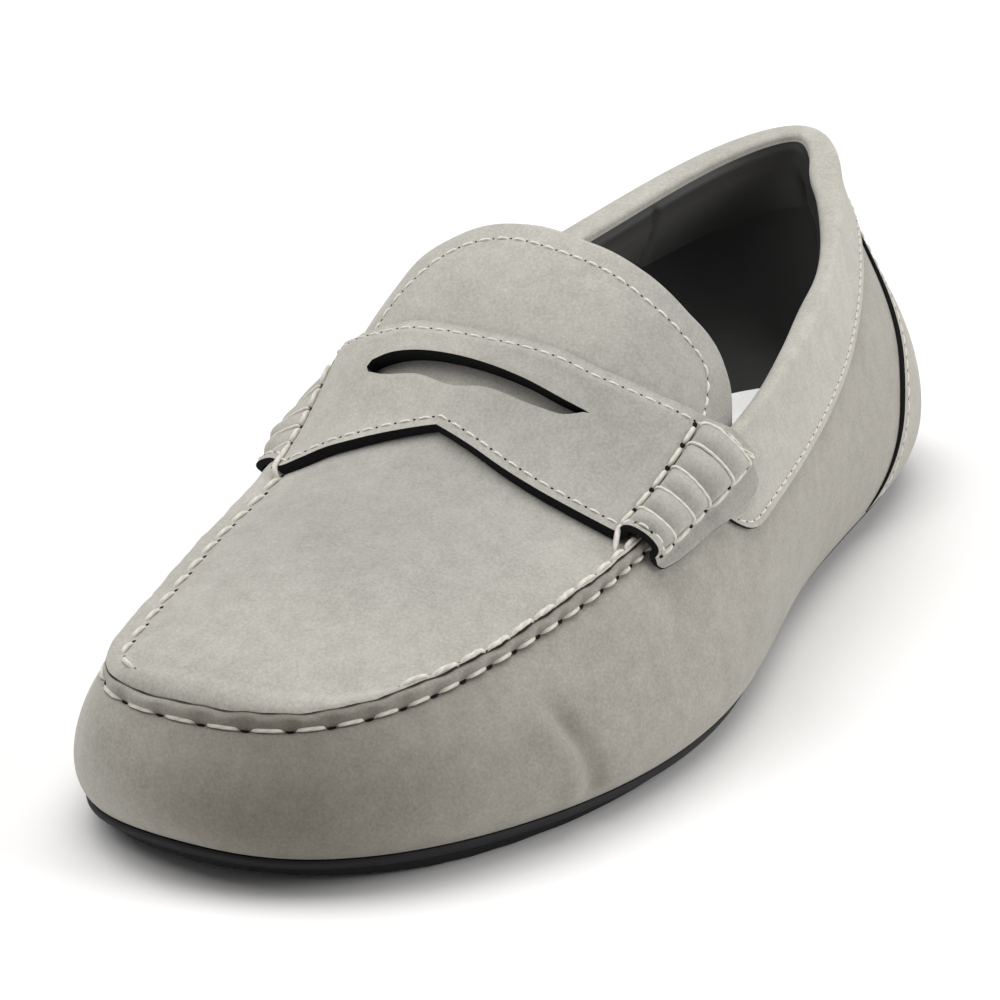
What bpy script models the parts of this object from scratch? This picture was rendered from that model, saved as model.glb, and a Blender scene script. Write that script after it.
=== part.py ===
# Penny driving loafer for the left foot, standing empty on its sole.
# +X points to the toe, +Y to the outer side, +Z up; the origin is under the middle of the box.
# Lengths are millimetres until a mesh is made, and metres in the scene.
from collections import namedtuple

import bpy
import numpy as np

MM = 0.001
NAME = "penny_loafer"

# Leather and clearances
WALL = 2.0              # wall of the upper
CROWN_WALL = 2.0        # how far the inner face of the apron lies below the outer one
GAP = 0.3               # clearance between pieces that meet
STRAP_GAP = 0.5         # clearance under the strap, whose facets are coarser
RIM = 2.5               # how far the wall stops below its top line, for seam ridge and collar
OVERLAY = 1.3           # leather of collar, heel patch and strap flap
STRAP = 2.0             # strap across the instep
TONGUE = 2.4

# Raised seam between wall and apron
RIDGE_UP = 2.9
RIDGE_LIP_UP = 2.1
RIDGE_LIP_OUT = 1.2
RIDGE_LIP = 0.965       # place of the lip up the wall, and across the apron
RIDGE_FOOT = 0.925
RIDGE_END = 4.333       # row where the seam has run out under the strap
RIDGE_FADE = 0.167      # rows over which it runs out

# Rolls that the strap makes over the seam
ROLL_UP = 3.6
ROLL_LOBES = 5
ROLL_PINCH = 0.9
ROLL_FRONT = 3.68
ROLL_REAR = 4.74
ROLL_END = 0.07         # rows over which the rear end closes
ROLL_WALL = 0.085       # how far the roll reaches down the wall, and over the apron
ROLL_APRON = 0.095
ROLL_ROUND = 0.7

# Apron, tongue and collar in rows of the last
APRON_REAR = 25         # column of the upper where the apron ends under the strap
TONGUE_REAR = 5.06
TONGUE_SIDE = 0.97
TONGUE_FRONT_GAP = 0.014
TONGUE_INSET = 3.1      # the sides of the tongue slip inside the collar
TONGUE_TUCK = 3.0       # and this far below the top line
THROAT_FRONT = 4.3      # here the wall still carries the apron
THROAT_REAR = 4.9       # and here it stands alone
TONGUE_SLIP_FRONT = 4.4  # where the sides of the tongue start to slip inside
TONGUE_SLIP_REAR = 4.95
TONGUE_CORNER = 0.6     # share across where the round corners start
TONGUE_CORNER_CUT = 0.04
COLLAR_FRONT = 4.44     # tip of the collar under the strap's flap
COLLAR_RIM_FRONT = 4.93  # where the collar starts to wrap over the top line
COLLAR_LOW = 0.67       # its lower edge up the wall, beside the throat
COLLAR_LOW_RISE = 0.11  # how much higher that edge lies at the back
COLLAR_TIP_RISE = 0.18  # and at the tip
COLLAR_TIP_RUN = 0.42
COLLAR_PAD_FRONT = 0.6  # padding inside the top line, beside the throat and at the back
COLLAR_PAD = 2.4
COLLAR_FACE = (0.0, 0.3, 0.62, 0.93)    # lines of its outer face, from the edge to the top line
COLLAR_INSIDE = (0.94, 0.86, 0.74)      # lines of its inner face, as shares of the wall
PATCH_FRONT = 5.75      # lower front corner of the heel patch
PATCH_LEAN = 1.55       # rows that its front edge leans back from floor to collar
PATCH_FOOT = 0.03       # share of its height left free above the sole
PATCH_TOP = 0.78        # share of the wall that it covers at the back
PATCH_COLLAR_GAP = 0.012

# Sole
PLATE = 2.3
WAIST_INSET = 1.2       # the plate draws in under the arch and the heel
POD_INSET = 0.12        # share of the way from edge to middle where the pods start
POD_SLOPE = 0.03
FORE_POD_REAR = 4.0
HEEL_POD_FRONT = 6.0
POD_STEP = 0.06
SOLE_LIP = 0.04         # share of the way to the middle where the edge of the plate thins out
SOLE_LIP_CUT = 0.3
SOLE_END_ROWS = 7       # rows of the net from toe or heel to the end of its middle line
TOE_SPRING_FROM = 92.0
TOE_SPRING_RUN = 38.0
TOE_SPRING = 2.8
INSOLE = 2.5
INSOLE_MARGIN = 2.7     # from the outline of the sole to the edge of the insole

# Mesh
ROWS = 16               # stations of the last
COLUMNS = 96            # columns round the upper
STEP = 1e-3             # rows or shares for slopes
SMOOTH_ANGLE = 40.0     # edges flatter than this are shaded round
UP = np.array([0.0, 0.0, 1.0])
CENTRE = (-0.4, 0.25, 0.0)   # middle of the box as the stations give it

# Each station of the last: the edge on the sole, the top line, and how far the curve of the
# wall is drawn out and up from the edge and out and down from the top line. Crown is how far
# the apron or tongue arches over its two sides, and fullness how square that arch is.
Station = namedtuple("Station", "edge_x edge_y edge_z top_x top_y top_z "
                     "low_out low_up high_out high_down crown fullness")
LAST = [
    Station(134, -10, 8.0, 129, -14, 34.5, 8, 6, 10, 7, 0.0, 2.2),      # toe
    Station(129, 11, 7.0, 123, 8, 34.0, 9, 6, 11, 6, 5.5, 2.2),
    Station(107, 32, 6.0, 104, 26, 37.0, 9, 7, 12, 7, 8.5, 2.2),
    Station(66, 47, 5.0, 72, 36, 42.0, 9, 8, 11, 8, 11.0, 2.2),         # outer ball
    Station(20, 48, 5.0, 38, 40, 48.0, 9, 9, 9, 9, 13.0, 2.2),
    Station(-30, 36, 5.0, -2, 39, 56.0, 9, 12, 6, 12, 32.0, 5.0),       # throat
    Station(-80, 29, 6.0, -58, 28, 61.0, 8, 15, 4, 15, 32.0, 5.0),
    Station(-119, 21, 7.0, -106, 9, 68.0, 8, 18, 4, 16, 32.0, 5.0),
    Station(-136, -2, 7.5, -125, -7, 74.0, 8, 19, 1, 17, 32.0, 5.0),    # back
    Station(-117, -25, 7.0, -109, -26, 69.0, 8, 16, 1, 17, 32.0, 5.0),
    Station(-80, -33, 6.0, -60, -37, 62.5, 9, 14, 3, 16, 32.0, 5.0),
    Station(-30, -34, 6.0, -2, -45, 56.5, 9, 12, 4, 12, 32.0, 5.0),     # throat
    Station(20, -42, 5.0, 38, -43, 49.0, 9, 9, 5, 9, 13.0, 2.2),
    Station(68, -50, 5.0, 72, -41, 42.5, 8, 8, 6, 8, 11.0, 2.2),        # inner ball
    Station(109, -45, 6.0, 104, -37, 39.0, 6, 7, 7, 8, 8.5, 2.2),
    Station(128, -31, 7.0, 124, -30, 36.0, 6, 6, 7, 7, 5.5, 2.2),
]
SPINE_SHIFT = 0.15      # the crest of the arch lies this share towards the inner side

# The strap from the flap's lower edge to its middle: where each line lies at its front and at
# its rear, and the rows where it starts, where the coin slot opens and closes, and where it ends.
Line = namedtuple("Line", "surface at at_rear front slot_front slot_rear rear")
STRAP_LINES = [
    Line("wall", 0.853, 0.807, 3.84, 4.20, 4.40, 4.70),
    Line("wall", 0.872, 0.825, 3.72, 4.20, 4.42, 4.78),
    Line("wall", 0.895, 0.870, 3.68, 4.20, 4.44, 4.80),
    Line("wall", RIDGE_FOOT, RIDGE_FOOT, 3.67, 4.167, 4.333, 4.79),
    Line("wall", RIDGE_LIP, RIDGE_LIP, 3.66, 4.167, 4.333, 4.77),
    Line("crown", 1.00, 1.00, 3.66, 4.167, 4.333, 4.76),
    Line("crown", RIDGE_LIP, RIDGE_LIP, 3.66, 4.167, 4.333, 4.74),
    Line("crown", RIDGE_FOOT, RIDGE_FOOT, 3.66, 4.167, 4.333, 4.71),
    Line("crown", 0.80, 0.80, 3.67, 4.20, 4.36, 4.59),
    Line("crown", 0.68, 0.68, 3.69, 4.20, 4.32, 4.53),
    Line("crown", 0.56, 0.56, 3.72, 4.22, 4.30, 4.50),
    Line("crown", 0.40, 0.40, 3.77, 4.21, 4.32, 4.50),
    Line("crown", 0.20, 0.20, 3.86, 4.21, 4.33, 4.50),
    Line("crown", 0.00, 0.00, 3.95, 4.19, 4.33, 4.50),
]
STRAP_SHIFT = 0.15      # the notch lies this share towards the inner side
STRAP_LEAN = 0.08       # rows that the front edge leads on the inner side and trails on the outer
SLOT_LINES = 3          # lines on each side of the middle that the coin slot crosses
FLAP_CLIMB = 4.28       # row where the flap starts to climb over the tip of the collar
STRAP_CLEAR = 0.04      # rows before that tip where it is clear of it
FLAP_THICKENS = (0.87, 0.92)    # shares of the wall between which the flap takes the strap's thickness

# Colours as red, green, blue, with roughness
GREY_NUBUCK = ((0.42, 0.39, 0.34), 0.9)
PATCH_NUBUCK = ((0.40, 0.37, 0.32), 0.9)
BLACK_RUBBER = ((0.015, 0.015, 0.016), 0.6)
BLACK_LINING = ((0.02, 0.02, 0.022), 0.7)


# A smooth closed curve through every column of the last, at any row number.
def last_at(row):
    table = np.array(LAST, float)
    count = len(table)
    ring = np.eye(count)
    spread = 4 * ring + np.roll(ring, 1, 0) + np.roll(ring, -1, 0)
    slope = np.linalg.solve(spread, 3 * (np.roll(table, -1, 0) - np.roll(table, 1, 0)))
    place = np.mod(np.asarray(row, float), count)
    here = np.floor(place).astype(int) % count
    after = (here + 1) % count
    f = (place - np.floor(place))[..., None]
    keep = 2 * f**3 - 3 * f**2 + 1
    curve = table[here] * keep + table[after] * (1 - keep)
    curve += slope[here] * (f**3 - 2 * f**2 + f) + slope[after] * (f**3 - f**2)
    return curve


def smooth_step(low, high, value):
    share = np.clip((value - low) / (high - low), 0, 1)
    return share * share * (3 - 2 * share)


# Rows counted from the toe along either side: 0 at the toe, 8 at the back.
def from_toe(row):
    row = np.mod(row, ROWS)
    return np.minimum(row, ROWS - row)


# Level direction out of the shoe, square to the edge on the sole.
def outward(row):
    run = last_at(row + STEP)[..., :2] - last_at(row - STEP)[..., :2]
    out = np.stack([run[..., 1], -run[..., 0], 0 * run[..., 0]], -1)
    return out / np.linalg.norm(out, axis=-1, keepdims=True)


# Where the wall ends, under the seam ridge or the collar. The inner face is set in by inset
# and, in front of the throat, lies lower by the thickness of the apron.
def wall_top(row, inset=0.0):
    last = last_at(row)
    under_apron = 1 - smooth_step(THROAT_FRONT, THROAT_REAR, from_toe(row))
    drop = RIM + under_apron * CROWN_WALL * np.sign(inset)
    return last[..., 3:6] - outward(row) * inset - UP * drop[..., None]


# Wall of the upper: a cubic curve from the edge on the sole, share 0, to the top, share 1.
def wall(row, share, inset=0.0):
    row, share = np.broadcast_arrays(np.asarray(row, float), np.asarray(share, float))
    last = last_at(row)
    out = outward(row)
    low = last[..., 0:3] - out * inset
    high = wall_top(row, inset)
    low_pull = low + out * last[..., 6:7] + UP * last[..., 7:8]
    high_pull = high + out * last[..., 8:9] - UP * last[..., 9:10]
    s = share[..., None]
    below = (1 - s)**3 * low + 3 * s * (1 - s)**2 * low_pull
    return below + 3 * s**2 * (1 - s) * high_pull + s**3 * high


# Share of the crown's height at a place across the foot: 0 at both sides, 1 at the crest.
def arch(row, across):
    return 1 - np.abs(across + SPINE_SHIFT * (1 - across**2)) ** last_at(row)[..., 11]


# Apron: an arch from the inner side, across -1, to the outer side, across 1.
def crown(row, across, inset=0.0):
    row, across = np.broadcast_arrays(np.asarray(row, float), np.asarray(across, float))
    share = ((1 + across) / 2)[..., None]
    rise = last_at(row)[..., 10] * arch(row, across)
    return wall_top(-row, inset) * (1 - share) + wall_top(row, inset) * share + UP * rise[..., None]


# Tongue: the same arch, whose sides slip inside the collar behind the strap.
def tongue_sheet(row, across):
    slip = smooth_step(TONGUE_SLIP_FRONT, TONGUE_SLIP_REAR, row)[..., None]
    side = [wall_top(r) - slip * (outward(r) * TONGUE_INSET + UP * TONGUE_TUCK) for r in (-row, row)]
    share = ((1 + across) / 2)[..., None]
    rise = (last_at(row)[..., 10:11] + slip * TONGUE_TUCK) * arch(row, across)[..., None]
    return side[0] * (1 - share) + side[1] * share + UP * rise


# Unit direction square to a surface, out of the shoe.
def square_to(surface, row, place, *inset):
    along = surface(row + STEP, place, *inset) - surface(row - STEP, place, *inset)
    over = surface(row, place + STEP, *inset) - surface(row, place - STEP, *inset)
    normal = np.cross(along, over) if surface is wall else np.cross(over, along)
    return normal / np.linalg.norm(normal, axis=-1, keepdims=True)


def lifted(surface, row, place, lift, *inset):
    return surface(row, place, *inset) + square_to(surface, row, place, *inset) * lift[..., None]


# Seam ridge: how far a point of the wall or apron near the seam is raised, and pushed out.
def ridge(row, place):
    size = np.clip((RIDGE_END - from_toe(row)) / RIDGE_FADE, 0, 1)
    marks = [RIDGE_FOOT, RIDGE_LIP, 1.0]
    up = np.interp(np.abs(place), marks, [0.0, RIDGE_LIP_UP, RIDGE_UP]) * size
    out = np.interp(np.abs(place), marks, [0.0, RIDGE_LIP_OUT, 0.0]) * size
    return up, out


def seamed_wall(row, share):
    up, out = ridge(row, share)
    return wall(row, share) + UP * up[..., None] + outward(row) * out[..., None]


def seamed_crown(row, across):
    up, _ = ridge(row, across)
    return crown(row, across) + UP * up[..., None]


# Lower edge of the collar on the wall, rising to its tip under the strap's flap.
def collar_edge(row):
    back = from_toe(row)
    run = COLLAR_LOW + COLLAR_LOW_RISE * smooth_step(5.0, 7.2, back)
    tip = np.clip((COLLAR_FRONT + COLLAR_TIP_RUN - back) / COLLAR_TIP_RUN, 0, 1)
    return run + COLLAR_TIP_RISE * tip**5


# Quads of a grid of vertex numbers; a repeated number gives a triangle.
def quads(numbers, keep=None):
    faces = []
    for i in range(len(numbers) - 1):
        for j in range(len(numbers[0]) - 1):
            if keep is not None and not keep(i, j):
                continue
            face = [numbers[i][j], numbers[i + 1][j], numbers[i + 1][j + 1], numbers[i][j + 1]]
            face = [v for k, v in enumerate(face) if v != face[k - 1]]
            if len(face) > 2:
                faces.append([int(v) for v in face])
    return faces


# A closed solid from one net of faces with an outer and an inner place for each vertex.
def solid(name, faces, outer, inner, colour):
    count = len(outer)
    edges = {(a, b) for face in faces for a, b in zip(face, face[1:] + face[:1])}
    rim = [[b, a, a + count, b + count] for a, b in sorted(edges) if (b, a) not in edges]
    back = [[v + count for v in reversed(face)] for face in faces]
    points = (np.concatenate([outer, inner]) - np.array(CENTRE)) * MM
    mesh = bpy.data.meshes.new(name)
    mesh.from_pydata(points.tolist(), [], faces + back + rim)
    mesh.validate()
    mesh.shade_smooth()
    mesh.set_sharp_from_angle(angle=np.radians(SMOOTH_ANGLE))
    mesh.materials.append(material(name, *colour))
    piece = bpy.data.objects.new(name, mesh)
    piece.parent = root
    collection.objects.link(piece)
    drop_unused(mesh)
    return piece


# Vertices that a left-out block of faces leaves alone are removed.
def drop_unused(mesh):
    used = np.zeros(len(mesh.vertices), bool)
    used[[v for polygon in mesh.polygons for v in polygon.vertices]] = True
    if used.all():
        return
    numbers = np.cumsum(used) - 1
    points = [vertex.co[:] for vertex, kept in zip(mesh.vertices, used) if kept]
    faces = [[int(numbers[v]) for v in polygon.vertices] for polygon in mesh.polygons]
    mesh.clear_geometry()
    mesh.from_pydata(points, [], faces)
    mesh.shade_smooth()
    mesh.set_sharp_from_angle(angle=np.radians(SMOOTH_ANGLE))


def material(name, colour, roughness):
    made = bpy.data.materials.new(name)
    made.use_nodes = True
    shader = made.node_tree.nodes["Principled BSDF"]
    shader.inputs["Base Color"].default_value = (*colour, 1)
    shader.inputs["Roughness"].default_value = roughness
    shader.inputs["Metallic"].default_value = 0
    return made


# Upper: wall and apron as one hollow shell, open at the throat and under the foot.
def upper():
    shares = np.array([0.0, 0.15, 0.36, 0.60, 0.80, RIDGE_FOOT, RIDGE_LIP, 1.0])
    inner_shares = np.array([0.0, 0.15, 0.36, 0.60, 0.76, 0.87, 0.94, 1.0])
    rows = np.arange(COLUMNS) * ROWS / COLUMNS
    edge = [RIDGE_LIP, RIDGE_FOOT]
    inner_edge = [0.95, 0.88]
    middle = [0.76, 0.57, 0.38, 0.19, 0.0]
    half = np.array(edge + middle)
    across = np.concatenate([half, -half[-2::-1]])
    inner_half = np.array(inner_edge + middle)
    inner_across = np.concatenate([inner_half, -inner_half[-2::-1]])
    apron_rows = rows[1:APRON_REAR + 1]

    wall_count = COLUMNS * len(shares)
    numbers = np.arange(wall_count).reshape(COLUMNS, len(shares))
    faces = quads(np.vstack([numbers, numbers[:1]]))
    inside = wall_count + np.arange(len(apron_rows) * len(across)).reshape(len(apron_rows), -1)
    outer_rim = numbers[1:APRON_REAR + 1, -1:]
    inner_rim = numbers[COLUMNS - np.arange(1, APRON_REAR + 1), -1:]
    apron = np.hstack([outer_rim, inside, inner_rim])
    toe = np.full((1, apron.shape[1]), numbers[0, -1])
    faces += quads(np.vstack([toe, apron]))

    outer = np.concatenate([
        seamed_wall(rows[:, None], shares[None]).reshape(-1, 3),
        seamed_crown(apron_rows[:, None], across[None]).reshape(-1, 3)])
    inner = np.concatenate([
        wall(rows[:, None], inner_shares[None], WALL).reshape(-1, 3),
        crown(apron_rows[:, None], inner_across[None], WALL).reshape(-1, 3)])
    return solid("upper", faces, outer, inner, GREY_NUBUCK)


# Tongue: the arch of the apron carried on behind the strap, with round upper corners.
def tongue():
    across = np.linspace(TONGUE_SIDE, -TONGUE_SIDE, 19)
    front = APRON_REAR * ROWS / COLUMNS + TONGUE_FRONT_GAP
    corner = np.clip((np.abs(across) - TONGUE_CORNER) / (TONGUE_SIDE - TONGUE_CORNER), 0, 1)
    rear = TONGUE_REAR - TONGUE_CORNER_CUT * corner**3
    along = np.linspace(0, 1, 10)[:, None]
    row = front + (rear - front)[None] * along
    across = np.broadcast_to(across[None], row.shape)
    numbers = np.arange(row.size).reshape(row.shape)
    outer = tongue_sheet(row, across).reshape(-1, 3)
    inner = lifted(tongue_sheet, row, across, 0 * row - TONGUE).reshape(-1, 3)
    return solid("tongue", quads(numbers), outer, inner, GREY_NUBUCK)


# Strap: over the apron, round the seam as a laced roll on each side, and down the wall as a flap.
def saddle_strap():
    sides = [(line, 1) for line in STRAP_LINES] + [(line, -1) for line in STRAP_LINES[-2::-1]]
    fore = np.linspace(0, 1, 9)[:-1]
    slot = np.linspace(0, 1, 4)[:-1]
    aft = np.linspace(0, 1, 8)
    top = []
    under = []
    for line, side in sides:
        across = side if line.surface == "wall" else side * line.at
        front = line.front + STRAP_LEAN * across
        row = np.concatenate([front + (line.slot_front - front) * fore,
                              line.slot_front + (line.slot_rear - line.slot_front) * slot,
                              line.slot_rear + (line.rear - line.slot_rear) * aft])
        run = (row - row[0]) / (row[-1] - row[0])
        if line.surface == "wall":
            surface, seamed = wall, seamed_wall
            place = line.at + (line.at_rear - line.at) * run
            row_here = side * row
            tuck = (GAP + OVERLAY) * smooth_step(FLAP_CLIMB, COLLAR_FRONT - STRAP_CLEAR, row)
            leather = np.interp(line.at, FLAP_THICKENS, [OVERLAY, STRAP])
        else:
            surface, seamed = crown, seamed_crown
            place = side * line.at - STRAP_SHIFT * (1 - line.at**2) + 0 * row
            row_here = row
            tuck = 0 * row
            leather = STRAP
        normal = strap_normal(line, surface, row_here, place)
        base = seamed(row_here, place)
        lift = STRAP_GAP + tuck + leather
        under.append(base + normal * (STRAP_GAP + tuck)[:, None])
        top.append(strap_face(surface(row_here, place), base, normal, lift, roll_height(line, row)))
    top = np.array(top).transpose(1, 0, 2)
    under = np.array(under).transpose(1, 0, 2)
    numbers = np.arange(top.shape[0] * top.shape[1]).reshape(top.shape[:2])
    middle = len(STRAP_LINES) - 1
    open_rows = range(len(fore), len(fore) + len(slot))
    open_lines = range(middle - SLOT_LINES, middle + SLOT_LINES)
    faces = quads(numbers, lambda i, j: not (i in open_rows and j in open_lines))
    return solid("saddle_strap", faces, top.reshape(-1, 3), under.reshape(-1, 3), GREY_NUBUCK)


# Height of the laced roll above the strap at one line: round across, pinched between lobes.
def roll_height(line, row):
    spread = ROLL_WALL if line.surface == "wall" else ROLL_APRON
    off = np.clip((1 - line.at) / spread, 0, 1)
    turn = np.clip((row - ROLL_FRONT) / (ROLL_REAR - ROLL_FRONT), 0, 1) * ROLL_LOBES * np.pi
    lobe = ROLL_UP - ROLL_PINCH * (1 - np.abs(np.sin(turn)) ** ROLL_ROUND)
    end = 1 - smooth_step(ROLL_REAR - ROLL_END, ROLL_REAR + ROLL_END, row)
    return np.sqrt(1 - off**2) * lobe * end


# Near the seam the strap leaves wall and apron along the direction between the two.
def strap_normal(line, surface, row, place):
    normal = square_to(surface, row, place)
    if line.at < RIDGE_FOOT:
        return normal
    side = np.sign(place if surface is crown else row)
    back = from_toe(row)
    between = square_to(wall, side * back, 0 * back + (1 - STEP)) + square_to(crown, back, side * (1 - STEP))
    between /= np.linalg.norm(between, axis=-1, keepdims=True)
    blend = (line.at - RIDGE_FOOT) / (1 - RIDGE_FOOT)
    normal = normal * (1 - blend) + between * blend
    return normal / np.linalg.norm(normal, axis=-1, keepdims=True)


# Outer face of the strap: the leather's thickness, or the roll where that stands higher.
def strap_face(smooth, seamed, normal, lift, roll):
    leather = seamed + normal * lift[:, None]
    reach = ((smooth - leather) * normal).sum(-1) + lift + roll
    return leather + normal * np.maximum(reach, 0)[:, None]


# Collar: a soft band folded over the top line, with a tip under each flap of the strap.
def collar():
    front = np.linspace(COLLAR_FRONT, COLLAR_RIM_FRONT, 6)
    columns = np.arange(COLUMNS // 2 + 1) * ROWS / COLUMNS
    half = np.concatenate([front, columns[columns > COLLAR_RIM_FRONT]])
    rows = np.concatenate([half, ROWS - half[-2::-1]])
    low = collar_edge(rows)
    points_out = []
    points_in = []
    for share in COLLAR_FACE:
        place = low + (1 - low) * share
        points_out.append(lifted(wall, rows, place, 0 * rows + GAP + OVERLAY))
        points_in.append(lifted(wall, rows, place, 0 * rows + GAP))
    pad = COLLAR_PAD_FRONT + (COLLAR_PAD - COLLAR_PAD_FRONT) * smooth_step(5.0, 6.2, from_toe(rows))
    out = outward(rows)
    over = wall_top(rows)
    within = wall_top(rows, WALL)
    points_out.append(over + out * OVERLAY * 0.7 + UP * RIM * 0.8)
    points_in.append(over + out * GAP + UP * GAP)
    points_out.append((over + within) / 2 + UP * RIM)
    points_in.append((over + within) / 2 + UP * GAP)
    points_out.append(within - out * (pad * 0.75)[:, None] + UP * RIM * 0.64)
    points_in.append(within - out * GAP + UP * GAP)
    for share in COLLAR_INSIDE:
        place = 0 * rows + share
        swell = pad * (0.55 if share == COLLAR_INSIDE[-1] else 1.0)
        points_out.append(lifted(wall, rows, place, -(GAP + swell), WALL))
        points_in.append(lifted(wall, rows, place, 0 * rows - GAP, WALL))
    outer = np.array(points_out).transpose(1, 0, 2)
    inner = np.array(points_in).transpose(1, 0, 2)
    numbers = np.arange(outer.shape[0] * outer.shape[1]).reshape(outer.shape[:2])
    tip = len(front) - 1
    last = len(rows) - 1 - tip
    faces = quads(numbers, lambda i, j: tip <= i < last or j < 2)
    return solid("collar", faces, outer.reshape(-1, 3), inner.reshape(-1, 3), GREY_NUBUCK)


# Heel patch: an overlay round the back, from the sole up to the collar.
def heel_patch():
    across = np.linspace(0, 1, 23)[:, None]
    up = np.linspace(PATCH_FOOT, 1, 8)[None]
    start = PATCH_FRONT + PATCH_LEAN * PATCH_TOP * up
    row = start + (ROWS - 2 * start) * across
    share = up * (collar_edge(row) - PATCH_COLLAR_GAP)
    numbers = np.arange(row.size).reshape(row.shape)
    outer = lifted(wall, row, share, 0 * row + GAP + OVERLAY).reshape(-1, 3)
    inner = lifted(wall, row, share, 0 * row + GAP).reshape(-1, 3)
    return solid("heel_patch", quads(numbers), outer, inner, PATCH_NUBUCK)


# Rows of the sole, with close pairs where the pods end under the arch.
def sole_rows():
    even = np.arange(0, ROWS, 0.25)
    ends = [FORE_POD_REAR + POD_STEP, HEEL_POD_FRONT - POD_STEP]
    return np.sort(np.concatenate([even, ends, [ROWS - end for end in ends]]))


# Net over the sole: rings from the outline to a middle line that stops short of toe and heel.
def sole_net(rows, rings, margin):
    count = len(rows)
    last = last_at(rows)
    edge = last[:, 0:3] - outward(rows) * margin
    mirror = (count - np.arange(count)) % count
    middle = (edge + edge[mirror]) / 2
    near = np.minimum(np.arange(count), mirror)
    stop = np.clip(near, SOLE_END_ROWS, count // 2 - SOLE_END_ROWS)
    points = edge[:, None] * (1 - rings)[None, :, None] + middle[stop][:, None] * rings[None, :, None]
    numbers = np.arange(count * len(rings)).reshape(count, -1)
    numbers[:, -1] = numbers[stop, -1]
    return points, np.vstack([numbers, numbers[:1]])


def insole():
    rings = np.array([0.0, 0.5, 1.0])
    points, numbers = sole_net(sole_rows(), rings, INSOLE_MARGIN)
    under = points.reshape(-1, 3)
    return solid("insole", quads(numbers), under + UP * INSOLE, under, BLACK_LINING)


# Outsole: a thin plate with toe spring and arch, on a forefoot pod and a heel pod.
def outsole():
    rings = np.array([0.0, SOLE_LIP, POD_INSET, POD_INSET + POD_SLOPE, 0.55, 1.0])
    rows = sole_rows()
    back = from_toe(rows)
    points, numbers = sole_net(rows, rings, WAIST_INSET * smooth_step(3.0, 5.0, back)[:, None])
    top = points - UP * GAP
    on_pod = (back <= FORE_POD_REAR) | (back >= HEEL_POD_FRONT)
    floor = TOE_SPRING * np.clip((points[..., 0] - TOE_SPRING_FROM) / TOE_SPRING_RUN, 0, 1) ** 2
    bottom = top - UP * PLATE
    bottom[:, 0] += UP * PLATE * SOLE_LIP_CUT
    pod = on_pod[:, None] & (rings >= POD_INSET + POD_SLOPE)[None]
    bottom[..., 2] = np.where(pod, floor, bottom[..., 2])
    return solid("outsole", quads(numbers), top.reshape(-1, 3), bottom.reshape(-1, 3), BLACK_RUBBER)


for old in list(bpy.data.objects):
    bpy.data.objects.remove(old, do_unlink=True)
collection = bpy.data.collections.new(NAME)
bpy.context.scene.collection.children.link(collection)
root = bpy.data.objects.new(NAME + "_root", None)
collection.objects.link(root)

outsole()
insole()
upper()
tongue()
saddle_strap()
collar()
heel_patch()
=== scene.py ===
import math

import bpy
import numpy as np
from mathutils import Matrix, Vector


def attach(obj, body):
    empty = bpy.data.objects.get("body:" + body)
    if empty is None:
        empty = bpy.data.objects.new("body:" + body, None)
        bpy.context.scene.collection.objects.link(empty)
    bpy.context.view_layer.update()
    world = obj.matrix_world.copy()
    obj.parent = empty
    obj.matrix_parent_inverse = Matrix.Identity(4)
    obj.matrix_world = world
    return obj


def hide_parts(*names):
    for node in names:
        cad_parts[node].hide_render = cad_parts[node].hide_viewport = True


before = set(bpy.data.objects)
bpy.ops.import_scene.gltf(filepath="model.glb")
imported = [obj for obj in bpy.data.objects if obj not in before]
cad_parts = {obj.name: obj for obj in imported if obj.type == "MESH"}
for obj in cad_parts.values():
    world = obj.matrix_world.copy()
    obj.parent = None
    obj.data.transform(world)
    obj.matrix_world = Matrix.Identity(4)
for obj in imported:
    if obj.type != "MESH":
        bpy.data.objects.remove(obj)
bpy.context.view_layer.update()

mm = 0.001
up = np.array([0.0, 0.0, 1.0])
nudge = 0.001   # step of a slope, in rows or shares

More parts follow.
